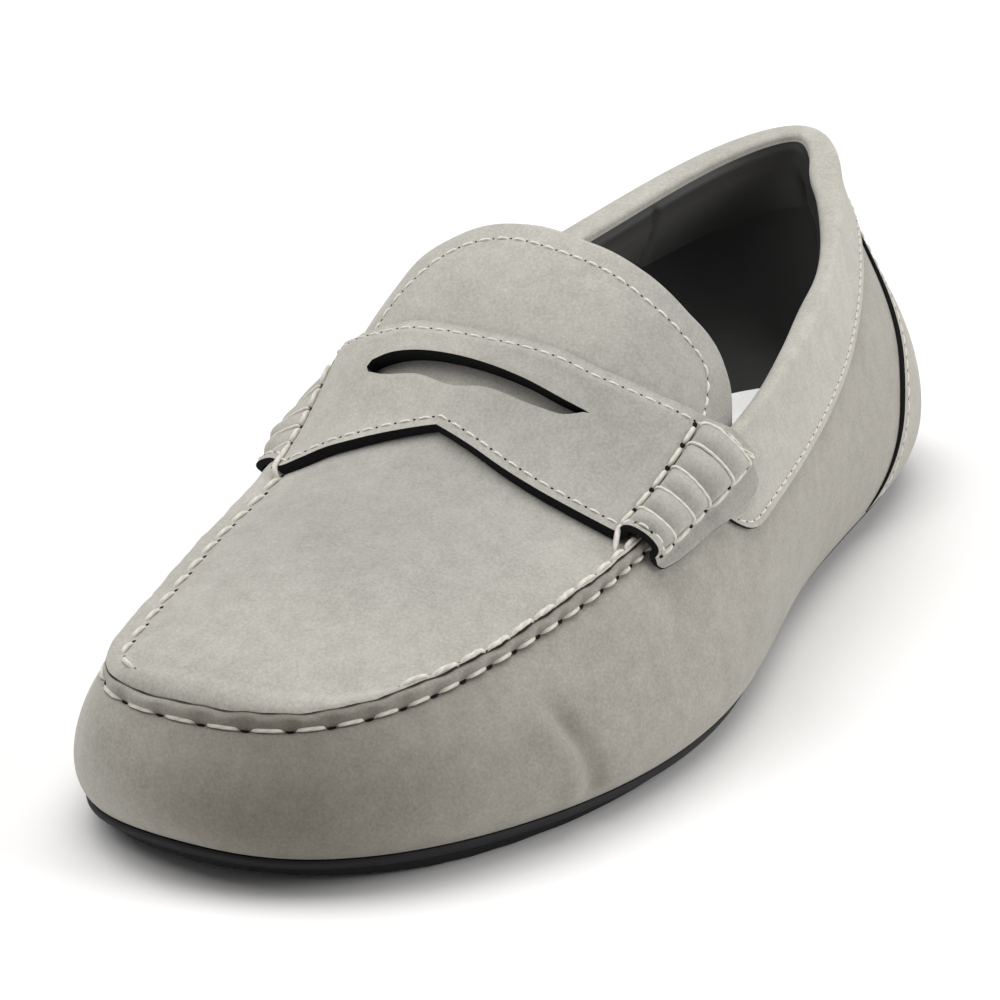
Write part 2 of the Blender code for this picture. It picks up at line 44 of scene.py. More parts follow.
# The last: one station per row round the foot, 0 at the toe, 1 to 7 on the outer side, 8 at the back.
# Columns in millimetres: edge x y z on the sole, top x y z on the top line, low pull out and up, high pull
# out and down, crown; then the crown's fullness. The pulls shape the wall between sole and top line.
last = {
    "stations": [
        (134, -10, 8.0, 129, -14, 34.5, 8, 6, 10, 7, 0.0, 2.2),      # toe
        (129, 11, 7.0, 123, 8, 34.0, 9, 6, 11, 6, 5.5, 2.2),
        (107, 32, 6.0, 104, 26, 37.0, 9, 7, 12, 7, 8.5, 2.2),
        (66, 47, 5.0, 72, 36, 42.0, 9, 8, 11, 8, 11.0, 2.2),         # outer ball
        (20, 48, 5.0, 38, 40, 48.0, 9, 9, 9, 9, 13.0, 2.2),
        (-30, 36, 5.0, -2, 39, 56.0, 9, 12, 6, 12, 32.0, 5.0),       # throat
        (-80, 29, 6.0, -58, 28, 61.0, 8, 15, 4, 15, 32.0, 5.0),
        (-119, 21, 7.0, -106, 9, 68.0, 8, 18, 4, 16, 32.0, 5.0),
        (-136, -2, 7.5, -125, -7, 74.0, 8, 19, 1, 17, 32.0, 5.0),    # back
        (-117, -25, 7.0, -109, -26, 69.0, 8, 16, 1, 17, 32.0, 5.0),
        (-80, -33, 6.0, -60, -37, 62.5, 9, 14, 3, 16, 32.0, 5.0),
        (-30, -34, 6.0, -2, -45, 56.5, 9, 12, 4, 12, 32.0, 5.0),     # throat
        (20, -42, 5.0, 38, -43, 49.0, 9, 9, 5, 9, 13.0, 2.2),
        (68, -50, 5.0, 72, -41, 42.5, 8, 8, 6, 8, 11.0, 2.2),        # inner ball
        (109, -45, 6.0, 104, -37, 39.0, 6, 7, 7, 8, 8.5, 2.2),
        (128, -31, 7.0, 125, -31.5, 36.0, 6, 6, 7, 7, 5.5, 2.2)],
    "centre": (-0.4, 0.25, 0.0),     # middle of the box as the stations give it
    "wall": 2.0, "apronWall": 2.0,   # leather with its lining
    "rim": 2.5,                      # the wall stops this far below the top line
    "throatFront": 4.3, "throatRear": 4.9,
    "spineShift": 0.15,              # the crest lies this share towards the inner side
}
stations = np.array(last["stations"], float)
rowCount = len(stations)
ring = np.eye(rowCount)
spread = 4 * ring + np.roll(ring, 1, 0) + np.roll(ring, -1, 0)
stationSlopes = np.linalg.solve(spread, 3 * (np.roll(stations, -1, 0) - np.roll(stations, 1, 0)))


def cubic(start, end, startSlope, endSlope, f):  # cubic piece with these ends and slopes, f from 0 to 1
    keep = (1 + 2 * f) * (1 - f)**2
    return start * keep + end * (1 - keep) + startSlope * f * (1 - f)**2 - endSlope * f**2 * (1 - f)


# Closed cubic through the stations: slopes s solve s[i-1] + 4 s[i] + s[i+1] = 3 (p[i+1] - p[i-1]).
def stationAt(row):
    place = np.mod(np.asarray(row, float), rowCount)
    here = np.floor(place).astype(int) % rowCount
    after = (here + 1) % rowCount
    f = (place - np.floor(place))[..., None]
    return cubic(stations[here], stations[after], stationSlopes[here], stationSlopes[after], f)


def between(low, high, share):
    return low + (high - low) * share


def paired(first, second):
    return np.broadcast_arrays(np.asarray(first, float), np.asarray(second, float))


def smoothStep(low, high, value):  # 3 s^2 - 2 s^3 between low and high
    s = np.clip((value - low) / (high - low), 0, 1)
    return s * s * (3 - 2 * s)


def bell(off, width):  # e to the power of minus (off / width)^2
    return np.exp(-(off / width)**2)


# Smooth curve through a short table: cubic pieces that share the table's mean slopes.
# Where the table holds lines of points, pick says which column and axis each value takes.
def through(value, xs, ys, pick=()):
    xs = np.asarray(xs, float)
    ys = np.asarray(ys, float)
    slope = np.gradient(ys, xs, axis=0)
    x = np.clip(value, xs[0], xs[-1])
    i = np.clip(np.searchsorted(xs, x, side="right") - 1, 0, len(xs) - 2)
    here = (i, *pick)
    after = (i + 1, *pick)
    h = xs[i + 1] - xs[i]
    f = (x - xs[i]) / h
    return cubic(ys[here], ys[after], h * slope[here], h * slope[after], f)


def fromToe(row):  # rows counted from the toe along either side, 0 to 8
    row = np.mod(row, rowCount)
    return np.minimum(row, rowCount - row)


def signedRow(row):  # rows of the inner side as negative numbers
    return np.mod(np.asarray(row) + rowCount / 2, rowCount) - rowCount / 2


def outward(row):  # level direction out of the shoe, square to the line on the sole
    run = stationAt(row + nudge)[..., :2] - stationAt(row - nudge)[..., :2]
    out = np.stack([run[..., 1], -run[..., 0], 0 * run[..., 0]], -1)
    return out / np.linalg.norm(out, axis=-1, keepdims=True)


def wallTop(row, inset=0.0):  # top line less the rim; the inner face lies further in, lower under the apron
    underApron = 1 - smoothStep(last["throatFront"], last["throatRear"], fromToe(row))
    drop = last["rim"] + underApron * last["apronWall"] * np.sign(inset)
    return stationAt(row)[..., 3:6] - outward(row) * inset - up * drop[..., None]


def wall(row, share, inset=0.0):  # cubic from the sole, share 0, to the top line, 1, drawn out by the pulls
    row, share = paired(row, share)
    at = stationAt(row)
    out = outward(row)
    low = at[..., 0:3] - out * inset
    high = wallTop(row, inset)
    lowPull = low + out * at[..., 6:7] + up * at[..., 7:8]
    highPull = high + out * at[..., 8:9] - up * at[..., 9:10]
    s = share[..., None]
    return (1 - s)**3 * low + 3 * s * (1 - s)**2 * lowPull + 3 * s**2 * (1 - s) * highPull + s**3 * high


def fromCrest(across):  # places across counted from the crest
    return across + last["spineShift"] * (1 - across**2)


def crown(row, across, inset=0.0):  # level line from -1 to 1, plus crown times 1 - |from crest|^fullness
    row, across = paired(row, across)
    share = ((1 + across) / 2)[..., None]
    at = stationAt(row)
    rise = at[..., 10] * (1 - np.abs(fromCrest(across)) ** at[..., 11])
    return wallTop(-row, inset) * (1 - share) + wallTop(row, inset) * share + up * rise[..., None]


def unit(vector):
    return vector / np.maximum(np.linalg.norm(vector, axis=-1, keepdims=True), 1e-9)


def normalOf(surface, row, place, sign=1.0):  # cross product of the two slopes, out of the shoe
    along = surface(row + nudge, place) - surface(row - nudge, place)
    over = surface(row, place + nudge) - surface(row, place - nudge)
    return unit(np.cross(along, over)) * sign


def wallNormal(row, share):
    return normalOf(wall, row, share)


def crownNormal(row, across):
    return normalOf(crown, row, across, -1.0)


def gridNormals(points):  # cross product of a grid's own slopes
    return unit(np.cross(np.gradient(points, axis=0), np.gradient(points, axis=1)))


def runAlong(line):  # distance of each point from the start of a line
    return np.concatenate([[0], np.cumsum(np.linalg.norm(np.diff(line, axis=0), axis=1))])


# Materials

def linear(hexColour):  # sRGB hex to linear RGBA
    parts = [int(hexColour[i:i + 2], 16) / 255 for i in (1, 3, 5)]
    return tuple(c / 12.92 if c <= 0.04045 else ((c + 0.055) / 1.055) ** 2.4 for c in parts) + (1.0,)


def addNode(tree, kind, inputs=None, **settings):
    made = tree.nodes.new(kind)
    for key, value in settings.items():
        setattr(made, key, value)
    for key, value in (inputs or {}).items():
        if isinstance(value, bpy.types.NodeSocket):
            tree.links.new(value, made.inputs[key])
        else:
            made.inputs[key].default_value = value
    return made


def newMaterial(name, values):
    made = bpy.data.materials.new(name)
    made.use_nodes = True
    shader = made.node_tree.nodes["Principled BSDF"]
    for key, value in values.items():
        shader.inputs[key].default_value = value
    return made, made.node_tree, shader


def perMillimetre(size):  # noise scale that gives blotches of this size
    return 1.0 / (size * mm)


# Nubuck is buffed leather: no gloss, a soft pale bloom at grazing angles, cloudy where the nap was stroked.
# The last two colours are multiplied in by the tone attribute: mostly painted shade, with soil in the crease
# and a darker tint on the apron.
nubuckLook = {"light": "#cac7be", "dark": "#a8a59c", "soilAndPaintedShade": "#a6a29c", "tintAndPaintedShade": "#a8aeb4",
              "clouds": ((16.0, 0.24), (4.0, 0.22), (0.6, 0.54)),   # size and weight: clouds, rubs, nap
              "cloudRange": (0.36, 0.74), "fibre": 0.34, "bump": 0.35, "depth": 0.12,
              "shader": {"Roughness": 0.92, "IOR": 1.45, "Specular IOR Level": 0.25,
                         "Sheen Weight": 0.22, "Sheen Roughness": 0.45}}


def makeNubuck(name, shade):
    look = nubuckLook
    made, tree, shader = newMaterial(name, look["shader"])
    place = addNode(tree, "ShaderNodeTexCoord").outputs["Object"]
    total = 0.0
    for size, weight in look["clouds"]:
        noise = addNode(tree, "ShaderNodeTexNoise", {"Vector": place, "Scale": perMillimetre(size),
                                                     "Detail": 3.0, "Roughness": 0.55})
        total = addNode(tree, "ShaderNodeMath", {0: noise.outputs["Fac"], 1: weight, 2: total},
                        operation="MULTIPLY_ADD").outputs[0]
    low, high = look["cloudRange"]
    clouds = addNode(tree, "ShaderNodeMapRange", {"Value": total, "From Min": low, "From Max": high})
    cloudy = addNode(tree, "ShaderNodeMix", {"Factor": clouds.outputs[0], 6: linear(look["dark"]),
                                             7: linear(look["light"])}, data_type="RGBA")
    tone = addNode(tree, "ShaderNodeAttribute", attribute_name="tone")
    # the tone attribute multiplies in the shade colour: painted shade, with soil and a darker tint in a few
    # places
    soiledAndShaded = addNode(tree, "ShaderNodeMix", {"Factor": tone.outputs["Fac"], 6: cloudy.outputs[2],
                                             7: linear(shade)}, data_type="RGBA", blend_type="MULTIPLY")
    tree.links.new(soiledAndShaded.outputs[2], shader.inputs["Base Color"])
    fibre = addNode(tree, "ShaderNodeTexNoise", {"Vector": place, "Scale": perMillimetre(look["fibre"]),
                                                 "Detail": 2.0, "Roughness": 0.6})
    bump = addNode(tree, "ShaderNodeBump", {"Height": fibre.outputs["Fac"], "Strength": look["bump"],
                                            "Distance": look["depth"] * mm})
    tree.links.new(bump.outputs[0], shader.inputs["Normal"])
    return made


# The plainer materials mix two colours by a mottle, and a grain raises the surface.
# Each of these patterns is a kind of texture, its coordinates, its output, its inputs and its settings.
def makeMottled(name, look, dark, light):
    made, tree, shader = newMaterial(name, look["shader"])
    place = addNode(tree, "ShaderNodeTexCoord")
    found = {}
    for part in ("mottle", "grain"):
        if part in look:
            kind, space, output, inputs, settings = look[part]
            texture = addNode(tree, kind, {"Vector": place.outputs[space], **inputs}, **settings)
            found[part] = texture.outputs[output]
    colour = addNode(tree, "ShaderNodeMix", {"Factor": found["mottle"], 6: linear(dark), 7: linear(light)},
                     data_type="RGBA")
    # painted light: the tone attribute mixes in a paler colour
    if "paintedLight" in look:
        tone = addNode(tree, "ShaderNodeAttribute", attribute_name="tone")
        colour = addNode(tree, "ShaderNodeMix", {"Factor": tone.outputs["Fac"], 6: colour.outputs[2],
                                                 7: linear(look["paintedLight"])}, data_type="RGBA")
    tree.links.new(colour.outputs[2], shader.inputs["Base Color"])
    if "grain" in look:
        bump = addNode(tree, "ShaderNodeBump", {"Height": found["grain"], "Strength": look["bump"],
                                                "Distance": look["depth"] * mm})
        tree.links.new(bump.outputs[0], shader.inputs["Normal"])
    return made


fuzz, bloom, wideBloom, mouldGrain, brushed = [
    ("ShaderNodeTexNoise", "Object", "Fac", {"Scale": perMillimetre(size), "Detail": detail}, {})
    for size, detail in ((0.5, 3.0), (14.0, 2.0), (20.0, 2.0), (0.8, 3.0), (0.8, 4.0))]
pebble = ("ShaderNodeTexVoronoi", "Object", "Distance", {"Scale": perMillimetre(1.1)}, {})
plies = ("ShaderNodeTexWave", "UV", "Fac", {"Scale": 1.0, "Distortion": 0.0},
         {"wave_type": "BANDS", "bands_direction": "DIAGONAL"})
# leather or its black backing at cut edges: dead matt and slightly fuzzy
edgeLook = {"mottle": fuzz, "grain": fuzz, "bump": 0.5, "depth": 0.15,
            "shader": {"Roughness": 0.95, "IOR": 1.45, "Specular IOR Level": 0.2}}
# charcoal coated lining: smooth, with a faint pebble and a dull shine, paler where light is painted on its
# padded band
liningLook = {"mottle": bloom, "grain": pebble, "bump": 0.15, "depth": 0.1, "paintedLight": "#52514e",
              "shader": {"Roughness": 0.5, "IOR": 1.5}}
# moulded black rubber: dull, with a fine matt grain from the mould
rubberLook = {"mottle": wideBloom, "grain": mouldGrain, "bump": 0.2, "depth": 0.08,
              "shader": {"Roughness": 0.65, "IOR": 1.52, "Specular IOR Level": 0.3}}
# waxed polyester thread: off-white plies twisted together, drawn coarser than real to show
threadLook = {"mottle": plies, "grain": plies, "bump": 0.25, "depth": 0.06,
              "shader": {"Roughness": 0.6, "IOR": 1.5}}
# pale brushed cover of the heel pad
feltLook = {"mottle": brushed, "shader": {"Roughness": 0.9, "IOR": 1.45}}

# the grey nubuck carries painted shade and crease soil on the wall; the second carries painted shade on strap
# and tongue and a darker tint on the apron
nubuck = makeNubuck("greyNubuck", nubuckLook["soilAndPaintedShade"])
tintedAndShadedNubuck = makeNubuck("tintedAndShadedNubuck", nubuckLook["tintAndPaintedShade"])
cutEdge = makeMottled("blackBacking", edgeLook, "#0d0e0f", "#232425")
rawEdge = makeMottled("rawLeatherEdge", edgeLook, "#35322f", "#5a5650")
lining = makeMottled("charcoalLining", liningLook, "#202020", "#2b2b2a")
rubber = makeMottled("blackRubber", rubberLook, "#171718", "#232325")
thread = makeMottled("whiteThread", threadLook, "#cfcbc0", "#dedbd1")
fineThread = makeMottled("greyThread", threadLook, "#dad6ce", "#eae7e0")
edgeThread = makeMottled("edgeThread", threadLook, "#d3cfc7", "#e4e0d8")
felt = makeMottled("paleFelt", feltLook, "#e4e3e1", "#f8f8f6")
print("materials made")


# Meshes

def addObject(name, data):
    made = bpy.data.objects.new(name, data)
    bpy.context.scene.collection.objects.link(made)
    return made


def addPiece(name, points, faces, materials, index, replaces=(), tone=None, uv=None, sharp=45.0):
    mesh = bpy.data.meshes.new(name)
    mesh.from_pydata(((points - np.array(last["centre"])) * mm).tolist(), [], faces.tolist())
    for material in materials:
        mesh.materials.append(material)
    mesh.polygons.foreach_set("material_index", np.ascontiguousarray(index, np.int32))
    values = np.zeros(len(points)) if tone is None else tone
    mesh.attributes.new("tone", "FLOAT", "POINT").data.foreach_set("value", values.astype(np.float32))
    if uv is not None:
        mesh.uv_layers.new(name="threadRun").uv.foreach_set("vector", uv.astype(np.float32).ravel())
    mesh.shade_smooth()
    mesh.set_sharp_from_angle(angle=math.radians(sharp))
    piece = addObject(name, mesh)
    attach(piece, "root")
    if replaces:
        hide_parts(*replaces)
    print(name, len(points), "points", 2 * len(faces), "triangles")
    return piece


def gridIds(rows, columns):
    return np.arange(rows * columns).reshape(rows, columns)


def gridQuads(ids):
    return np.stack([ids[:-1, :-1], ids[1:, :-1], ids[1:, 1:], ids[:-1, 1:]], -1)


def net(grid):
    return gridQuads(gridIds(*grid.shape[:2]))


# Leather panel: one net of quads for the outer and the inner face, closed along every free edge by a rim.
# A rim ring at share t lies between the two faces, pushed out by bulge times sin(pi t).
def panel(name, quads, outer, inner, materials, outerIndex=0, innerIndex=0, rimIndex=0,
          rings=1, bulge=0.0, tone=None, replaces=(), sharp=45.0):
    outer = outer.reshape(-1, 3)
    inner = inner.reshape(-1, 3)
    count = len(outer)
    outerIndex = np.broadcast_to(outerIndex, quads.shape[:-1]).ravel()
    quads = quads.reshape(-1, 4)
    start = quads.ravel()
    end = np.roll(quads, -1, 1).ravel()
    free = ~np.isin(end * count + start, start * count + end)
    start = start[free]
    end = end[free]
    corner = outer[quads[np.repeat(np.arange(len(quads)), 4)[free]]]
    facing = np.cross(corner[:, 2] - corner[:, 0], corner[:, 3] - corner[:, 1])
    away = np.zeros((count, 3))
    for ends in (start, end):
        np.add.at(away, ends, unit(np.cross(outer[end] - outer[start], facing)))
    edge = np.unique(start)
    slotOf = np.zeros(count, int)
    slotOf[edge] = np.arange(len(edge))
    points = [outer, inner]
    levels = [np.arange(count)]
    for k in range(1, rings):
        t = k / rings
        flat = outer[edge] * (1 - t) + inner[edge] * t
        points.append(flat + unit(away[edge]) * bulge * math.sin(math.pi * t))
        levels.append(2 * count + (k - 1) * len(edge) + slotOf)
    levels.append(np.arange(count) + count)
    rim = [np.stack([a[end], a[start], b[start], b[end]], -1) for a, b in zip(levels, levels[1:])]
    rim = np.concatenate(rim)
    faces = np.concatenate([quads, quads[:, ::-1] + count, rim])
    index = np.concatenate([outerIndex, np.full(len(quads), innerIndex), np.full(len(rim), rimIndex)])
    points = np.concatenate(points)
    shade = np.zeros(len(points))
    if tone is not None:
        shade[:count] = np.ravel(tone)
    used, faces = np.unique(faces, return_inverse=True)
    return addPiece(name, points[used], faces.reshape(-1, 4), materials, index, replaces, shade[used],
                    sharp=sharp)


threadForm = {"sides": 6, "taper": 0.55, "ply": 0.12, "points": 9}
holeForm = {"sides": 8, "long": 1.25, "proud": 0.05, "deep": 0.35, "taper": 0.7}


# Threads: each stitch is a six-sided tube along its path, thinner where it dives in at both ends.
def tubes(name, paths, normals, radius, material):
    count, steps = paths.shape[:2]
    sides = threadForm["sides"]
    along = unit(np.gradient(paths, axis=1))
    side = unit(np.cross(normals, along))
    rise = np.cross(along, side)
    turn = np.arange(sides) * 2 * np.pi / sides
    size = radius * (1 - threadForm["taper"] * np.abs(np.linspace(-1, 1, steps)) ** 5)
    ringPoints = side[:, :, None] * np.cos(turn)[:, None] + rise[:, :, None] * np.sin(turn)[:, None]
    points = paths[:, :, None] + ringPoints * size[None, :, None, None]
    ids = np.arange(points[..., 0].size).reshape(count, steps, sides)
    beside = np.roll(ids, -1, 2)
    skin = np.stack([ids[:, :-1], beside[:, :-1], beside[:, 1:], ids[:, 1:]], -1)
    run = np.array([runAlong(path) for path in paths])
    v = np.repeat(run[:, :, None], sides, 2) / radius * threadForm["ply"]
    around = np.broadcast_to(np.arange(sides) / sides, v.shape)
    before = slice(None, -1)
    after = slice(1, None)
    corners = ((0, before), (1, before), (1, after), (0, after))
    uv = np.stack([np.stack([around[:, s] + k / sides, v[:, s]], -1) for k, s in corners], -2)
    caps = [ids[:, 0][:, c] for c in ([3, 2, 1, 0], [5, 4, 3, 0])]
    caps += [ids[:, -1][:, c] for c in ([0, 1, 2, 3], [0, 3, 4, 5])]
    faces = np.concatenate([skin.reshape(-1, 4)] + caps)
    uv = np.concatenate([uv.reshape(-1, 2), np.zeros((len(caps) * count * 4, 2))])
    points = points.reshape(-1, 3)
    addPiece(name, points, faces, [material], np.zeros(len(faces)), uv=uv, sharp=70.0)


def resample(line, values, run):  # values along a polyline at distances run
    length = runAlong(line)
    return np.stack([np.interp(run, length, values[:, k]) for k in range(values.shape[1])], -1)


# Needle holes: flat eight-sided black plugs that stand a hair above the leather, painted shade in place of
# the holes' dark insides.
def holeShadePlugs(name, centres, normals, alongs, radius):
    sides = holeForm["sides"]
    side = unit(np.cross(normals, alongs))
    ahead = np.cross(side, normals) * holeForm["long"]
    turn = np.arange(sides) * 2 * np.pi / sides
    size = np.broadcast_to(radius, len(centres))[:, None, None]
    disc = (side[:, None] * np.cos(turn)[:, None] + ahead[:, None] * np.sin(turn)[:, None]) * size
    top = centres[:, None] + disc + normals[:, None] * holeForm["proud"]
    low = centres[:, None] + disc * holeForm["taper"] - normals[:, None] * holeForm["deep"]
    ids = np.arange(len(centres) * 2 * sides).reshape(-1, 2, sides)
    beside = np.roll(ids, -1, 2)
    skin = np.stack([ids[:, 1], beside[:, 1], beside[:, 0], ids[:, 0]], -1).reshape(-1, 4)
    caps = [ids[:, 0][:, c] for c in ([0, 1, 2, 3], [0, 3, 4, 7], [4, 5, 6, 7])]
    caps += [ids[:, 1][:, c] for c in ([3, 2, 1, 0], [7, 4, 3, 0], [7, 6, 5, 4])]
    faces = np.concatenate([skin] + caps)
    points = np.stack([top, low], 1).reshape(-1, 3)
    addPiece(name, points, faces, [cutEdge], np.zeros(len(faces)))


def countedSpots(line, count):  # distances at which a count that grows along the line is whole
    return np.interp(np.arange(np.ceil(count[0]), np.floor(count[-1]) + 1), count, runAlong(line))


# A sewn row along a line: stitches between the holes at these spots, and black plugs in the holes that paint
# their shade.
# A slant carries the far end of each stitch sideways by so many millimetres.
def sewnRow(name, line, normals, spots, radius, hole, gap, material, bow=0.4, slant=0.0):
    t = np.linspace(0, 1, threadForm["points"])
    gap = np.broadcast_to(gap, len(spots) - 1)[:, None]
    run = spots[:-1, None] + gap / 2 + (np.diff(spots)[:, None] - gap) * t
    path = resample(line, line, run)
    face = unit(resample(line, normals, run))
    aside = unit(np.cross(face, np.gradient(path, axis=1)))
    aside = aside * np.broadcast_to(slant, len(path))[:, None, None]
    lift = radius * (bow - (bow + 1.1) * np.abs(2 * t - 1) ** 5)
    path = path + face * lift[None, :, None] - aside * t[None, :, None]
    tubes(name + "Thread", path, face, radius, material)
    places, facing, ahead = [resample(line, v, spots) for v in (line, normals, np.gradient(line, axis=0))]
    holeShadePlugs(name + "Holes", places, unit(facing), unit(ahead), hole)


def sewEvenly(name, line, normals, pitch, **stitch):  # needle holes one pitch apart
    spots = (np.arange(int(runAlong(line)[-1] / pitch - 0.5) + 1) + 0.5) * pitch
    sewnRow(name, line, normals, spots, **stitch)


tongueStitch = {"pitch": 3.6, "radius": 0.3, "hole": 0.2, "gap": 1.2, "material": fineThread}
strapStitch = {"pitch": 3.9, "radius": 0.28, "hole": 0.24, "gap": 1.5, "material": fineThread}
edgeStitch = {"pitch": 3.4, "radius": 0.25, "hole": 0.15, "gap": 1.0, "material": edgeThread}


# Raised seam between wall and apron. Places along it count from the middle of the toe, outer side positive.

seam = {"end": 4.333, "fade": 0.167, "scallop": 0.16, "threadRadius": 0.52,
        "toeLower": 0.25, "toeReach": 35.0,
        "waves": ((2.3, 0.4, 0.132), (1.1, 1.7, 0.077), (6.0, 0.0, 0.132)),   # length, phase, height
        "firstHole": 50.1,
        "pitchRun": (-130, -60, -45, -30, -15, 0, 18, 30, 45, 95, 101, 130),
        "pitch": (7.0, 7.0, 6.6, 6.8, 7.8, 8.4, 8.3, 7.1, 6.7, 6.6, 4.9, 4.8),
        "footRun": (-130, -20, 20, 35, 60, 95, 110),   # share of the wall at which the ridge starts
        "foot": (0.965, 0.958, 0.959, 0.968, 0.984, 0.985, 0.984),
        "plugRun": (-90, -40, -26, -19, -12, 0, 24, 40, 120),   # how far in the apron's stitches lie
        "plug": (5.2, 5.0, 4.6, 3.4, 2.3, 2.2, 2.2, 1.0, 1.0),
        "widthRun": (-90, -40, -26, -12, 25, 45, 120),   # how far in the ridge's inner slope comes down
        "width": (5.2, 5.0, 4.6, 4.2, 4.0, 2.3, 2.3)}
seamRows = np.linspace(-4.6, 4.6, 921)
seamLine = wallTop(seamRows)
seamRun = runAlong(seamLine)
seamRun -= np.interp(0, seamRows, seamRun)
seamCount = np.cumsum(np.gradient(seamRun) / np.interp(seamRun, seam["pitchRun"], seam["pitch"]))
seamCount -= np.interp(seam["firstHole"], seamRun, seamCount)


def seamPlace(row):
    return np.interp(signedRow(row), seamRows, seamRun)


def alongSeam(key, run):
    return through(run, seam[key + "Run"], seam[key])


def seamSize(row):  # 1 along the seam, 0 where it has run out under the strap
    return np.clip((seam["end"] - fromToe(row)) / seam["fade"], 0, 1)


def stitchCount(run):
    return np.interp(run, seamRun, seamCount)


def nearHole(run, reach):  # 1 at a stitch hole, falling off as a bell of this reach
    count = stitchCount(run)
    return bell((count - np.round(count)) * np.interp(run, seam["pitchRun"], seam["pitch"]), reach)


def cutWave(run):  # how far the hand-cut edge strays up or down: three sines
    return sum(height * np.sin(run / length + phase) for length, phase, height in seam["waves"])


def ridgeScale(run):  # the ridge is lower round the toe
    return 1 - seam["toeLower"] * bell(run, seam["toeReach"])


# Main crease: a line down the outer forefoot, given as the row at each share of the wall

crease = {"share": (0.03, 0.16, 0.41, 0.55, 0.69, 0.85), "row": (2.80, 2.76, 2.725, 2.675, 2.635, 2.57),
          "rowLength": 36.0, "fadeTop": (0.78, 0.58), "fadeFoot": (0.02, 0.14),
          # soil and painted shade in the crease's trough
          "soilAndPaintedShade": 0.22, "soilAndPaintedShadeWidth": 2.4,
          "folds": ((0.9, -4.8, 3.8), (0.35, 7.0, 5.0), (-1.5, 0.0, 2.4)),   # height, how far behind, width
          "ripple": (-0.4, -8.4, 2.2), "rippleFade": (0.55, 0.35),
          "swells": ((3.48, 0.76, 5.5, 0.14, 0.6),   # row, share, width, reach, height
                     (3.74, 0.80, 5.0, 0.16, -0.7))}


def creaseOff(row, share):  # distance behind the crease
    return (row - through(share, crease["share"], crease["row"])) * crease["rowLength"]


def creaseFade(share):
    return smoothStep(*crease["fadeTop"], share) * smoothStep(*crease["fadeFoot"], share)


def creaseDepth(row, share):  # bells across the crease: bulge, rise behind, trough, ripple; then two swells
    off = creaseOff(row, share)
    form = sum(height * bell(off - at, width) for height, at, width in crease["folds"])
    height, at, width = crease["ripple"]
    form = form + height * bell(off - at, width) * smoothStep(*crease["rippleFade"], share)
    form = form * creaseFade(share)
    for atRow, atShare, width, reach, height in crease["swells"]:
        form = form + height * bell((row - atRow) * crease["rowLength"], width) * bell(share - atShare, reach)
    return form


# Upper wall with its half of the raised seam

vamp = {"columns": 720, "low": 26, "wallLength": 45.0, "groove": 0.4, "pit": 0.5,
        "ridgeSteps": (0.0, 0.05, 0.1, 0.16, 0.23, 0.3, 0.38, 0.46, 0.55, 0.64, 0.72, 0.8, 0.88, 0.95, 1.0),
        "liftAt": (0, 0.1, 0.3, 0.55, 0.8, 0.95, 1.0), "lift": (0, 0.35, 1.05, 1.85, 2.3, 2.45, 2.6),
        "pushAt": (0, 0.1, 0.3, 0.55, 0.8, 1.0), "push": (0, 0.5, 1.1, 1.3, 0.95, 0.2),
        "pushGain": 1.08, "pinch": 0.5, "pinchReach": 1.7, "pitReach": 1.2,
        "innerPush": 0.1, "pushRun": (-24.0, -6.0),   # the ridge is slimmer on the inner side
        "innerLift": 0.85, "liftRun": (-24.0, -8.0),
        "puff": 0.25, "puffReach": 2.2, "puffAt": -2.6, "puffWidth": 2.4,   # leather between the stitches
        "dip": 0.08, "dipAt": -5.0, "dipWidth": 4.0,
        # painted shade on the toe and the walls, the outer wall most; the wall also darker towards the sole
        # and round the stitch holes
        "paintedToeShade": 0.53, "paintedSideShade": 0.38, "footTone": 0.3, "holeTone": 0.3,
        "sewnTo": 4.06, "threadRadius": 0.94, "hole": 0.64, "stitchGap": 2.2, "bow": 0.6}


def vampFace(row, share):  # wall, plus the ridge's lift and push near the top, plus crease, groove and dents
    row, share = paired(row, share)
    size = seamSize(row)
    run = seamPlace(row)
    foot = alongSeam("foot", run)
    rise = np.clip((share - foot) / (1 - foot), 0, 1)
    pinched = nearHole(run, vamp["pinchReach"])
    push = through(rise, vamp["pushAt"], vamp["push"])
    push = push * (vamp["pushGain"] - vamp["pinch"] * pinched * (1 - smoothStep(0.3, 0.9, rise)))
    push = push * between(vamp["innerPush"], 1, smoothStep(*vamp["pushRun"], run))
    lift = through(rise, vamp["liftAt"], vamp["lift"])
    lift = lift * between(vamp["innerLift"], 1, smoothStep(*vamp["liftRun"], run))
    scallop = seam["scallop"] * np.cos(2 * np.pi * stitchCount(run))
    lift = lift + (cutWave(run) + scallop) * smoothStep(0.25, 0.9, rise)
    below = (share - foot) * vamp["wallLength"]
    dent = -(vamp["groove"] + vamp["pit"] * nearHole(run, vamp["pitReach"])) * bell(below, 1.0)
    puff = vamp["puff"] * (1 - nearHole(run, vamp["puffReach"]))
    dent = dent + puff * bell(below - vamp["puffAt"], vamp["puffWidth"])
    dent = dent - vamp["dip"] * bell(below - vamp["dipAt"], vamp["dipWidth"])
    offset = dent * size + creaseDepth(row, share)
    base = wall(row, share) + wallNormal(row, share) * offset[..., None]
    return base + up * (lift * size * ridgeScale(run))[..., None] + outward(row) * (push * size)[..., None]


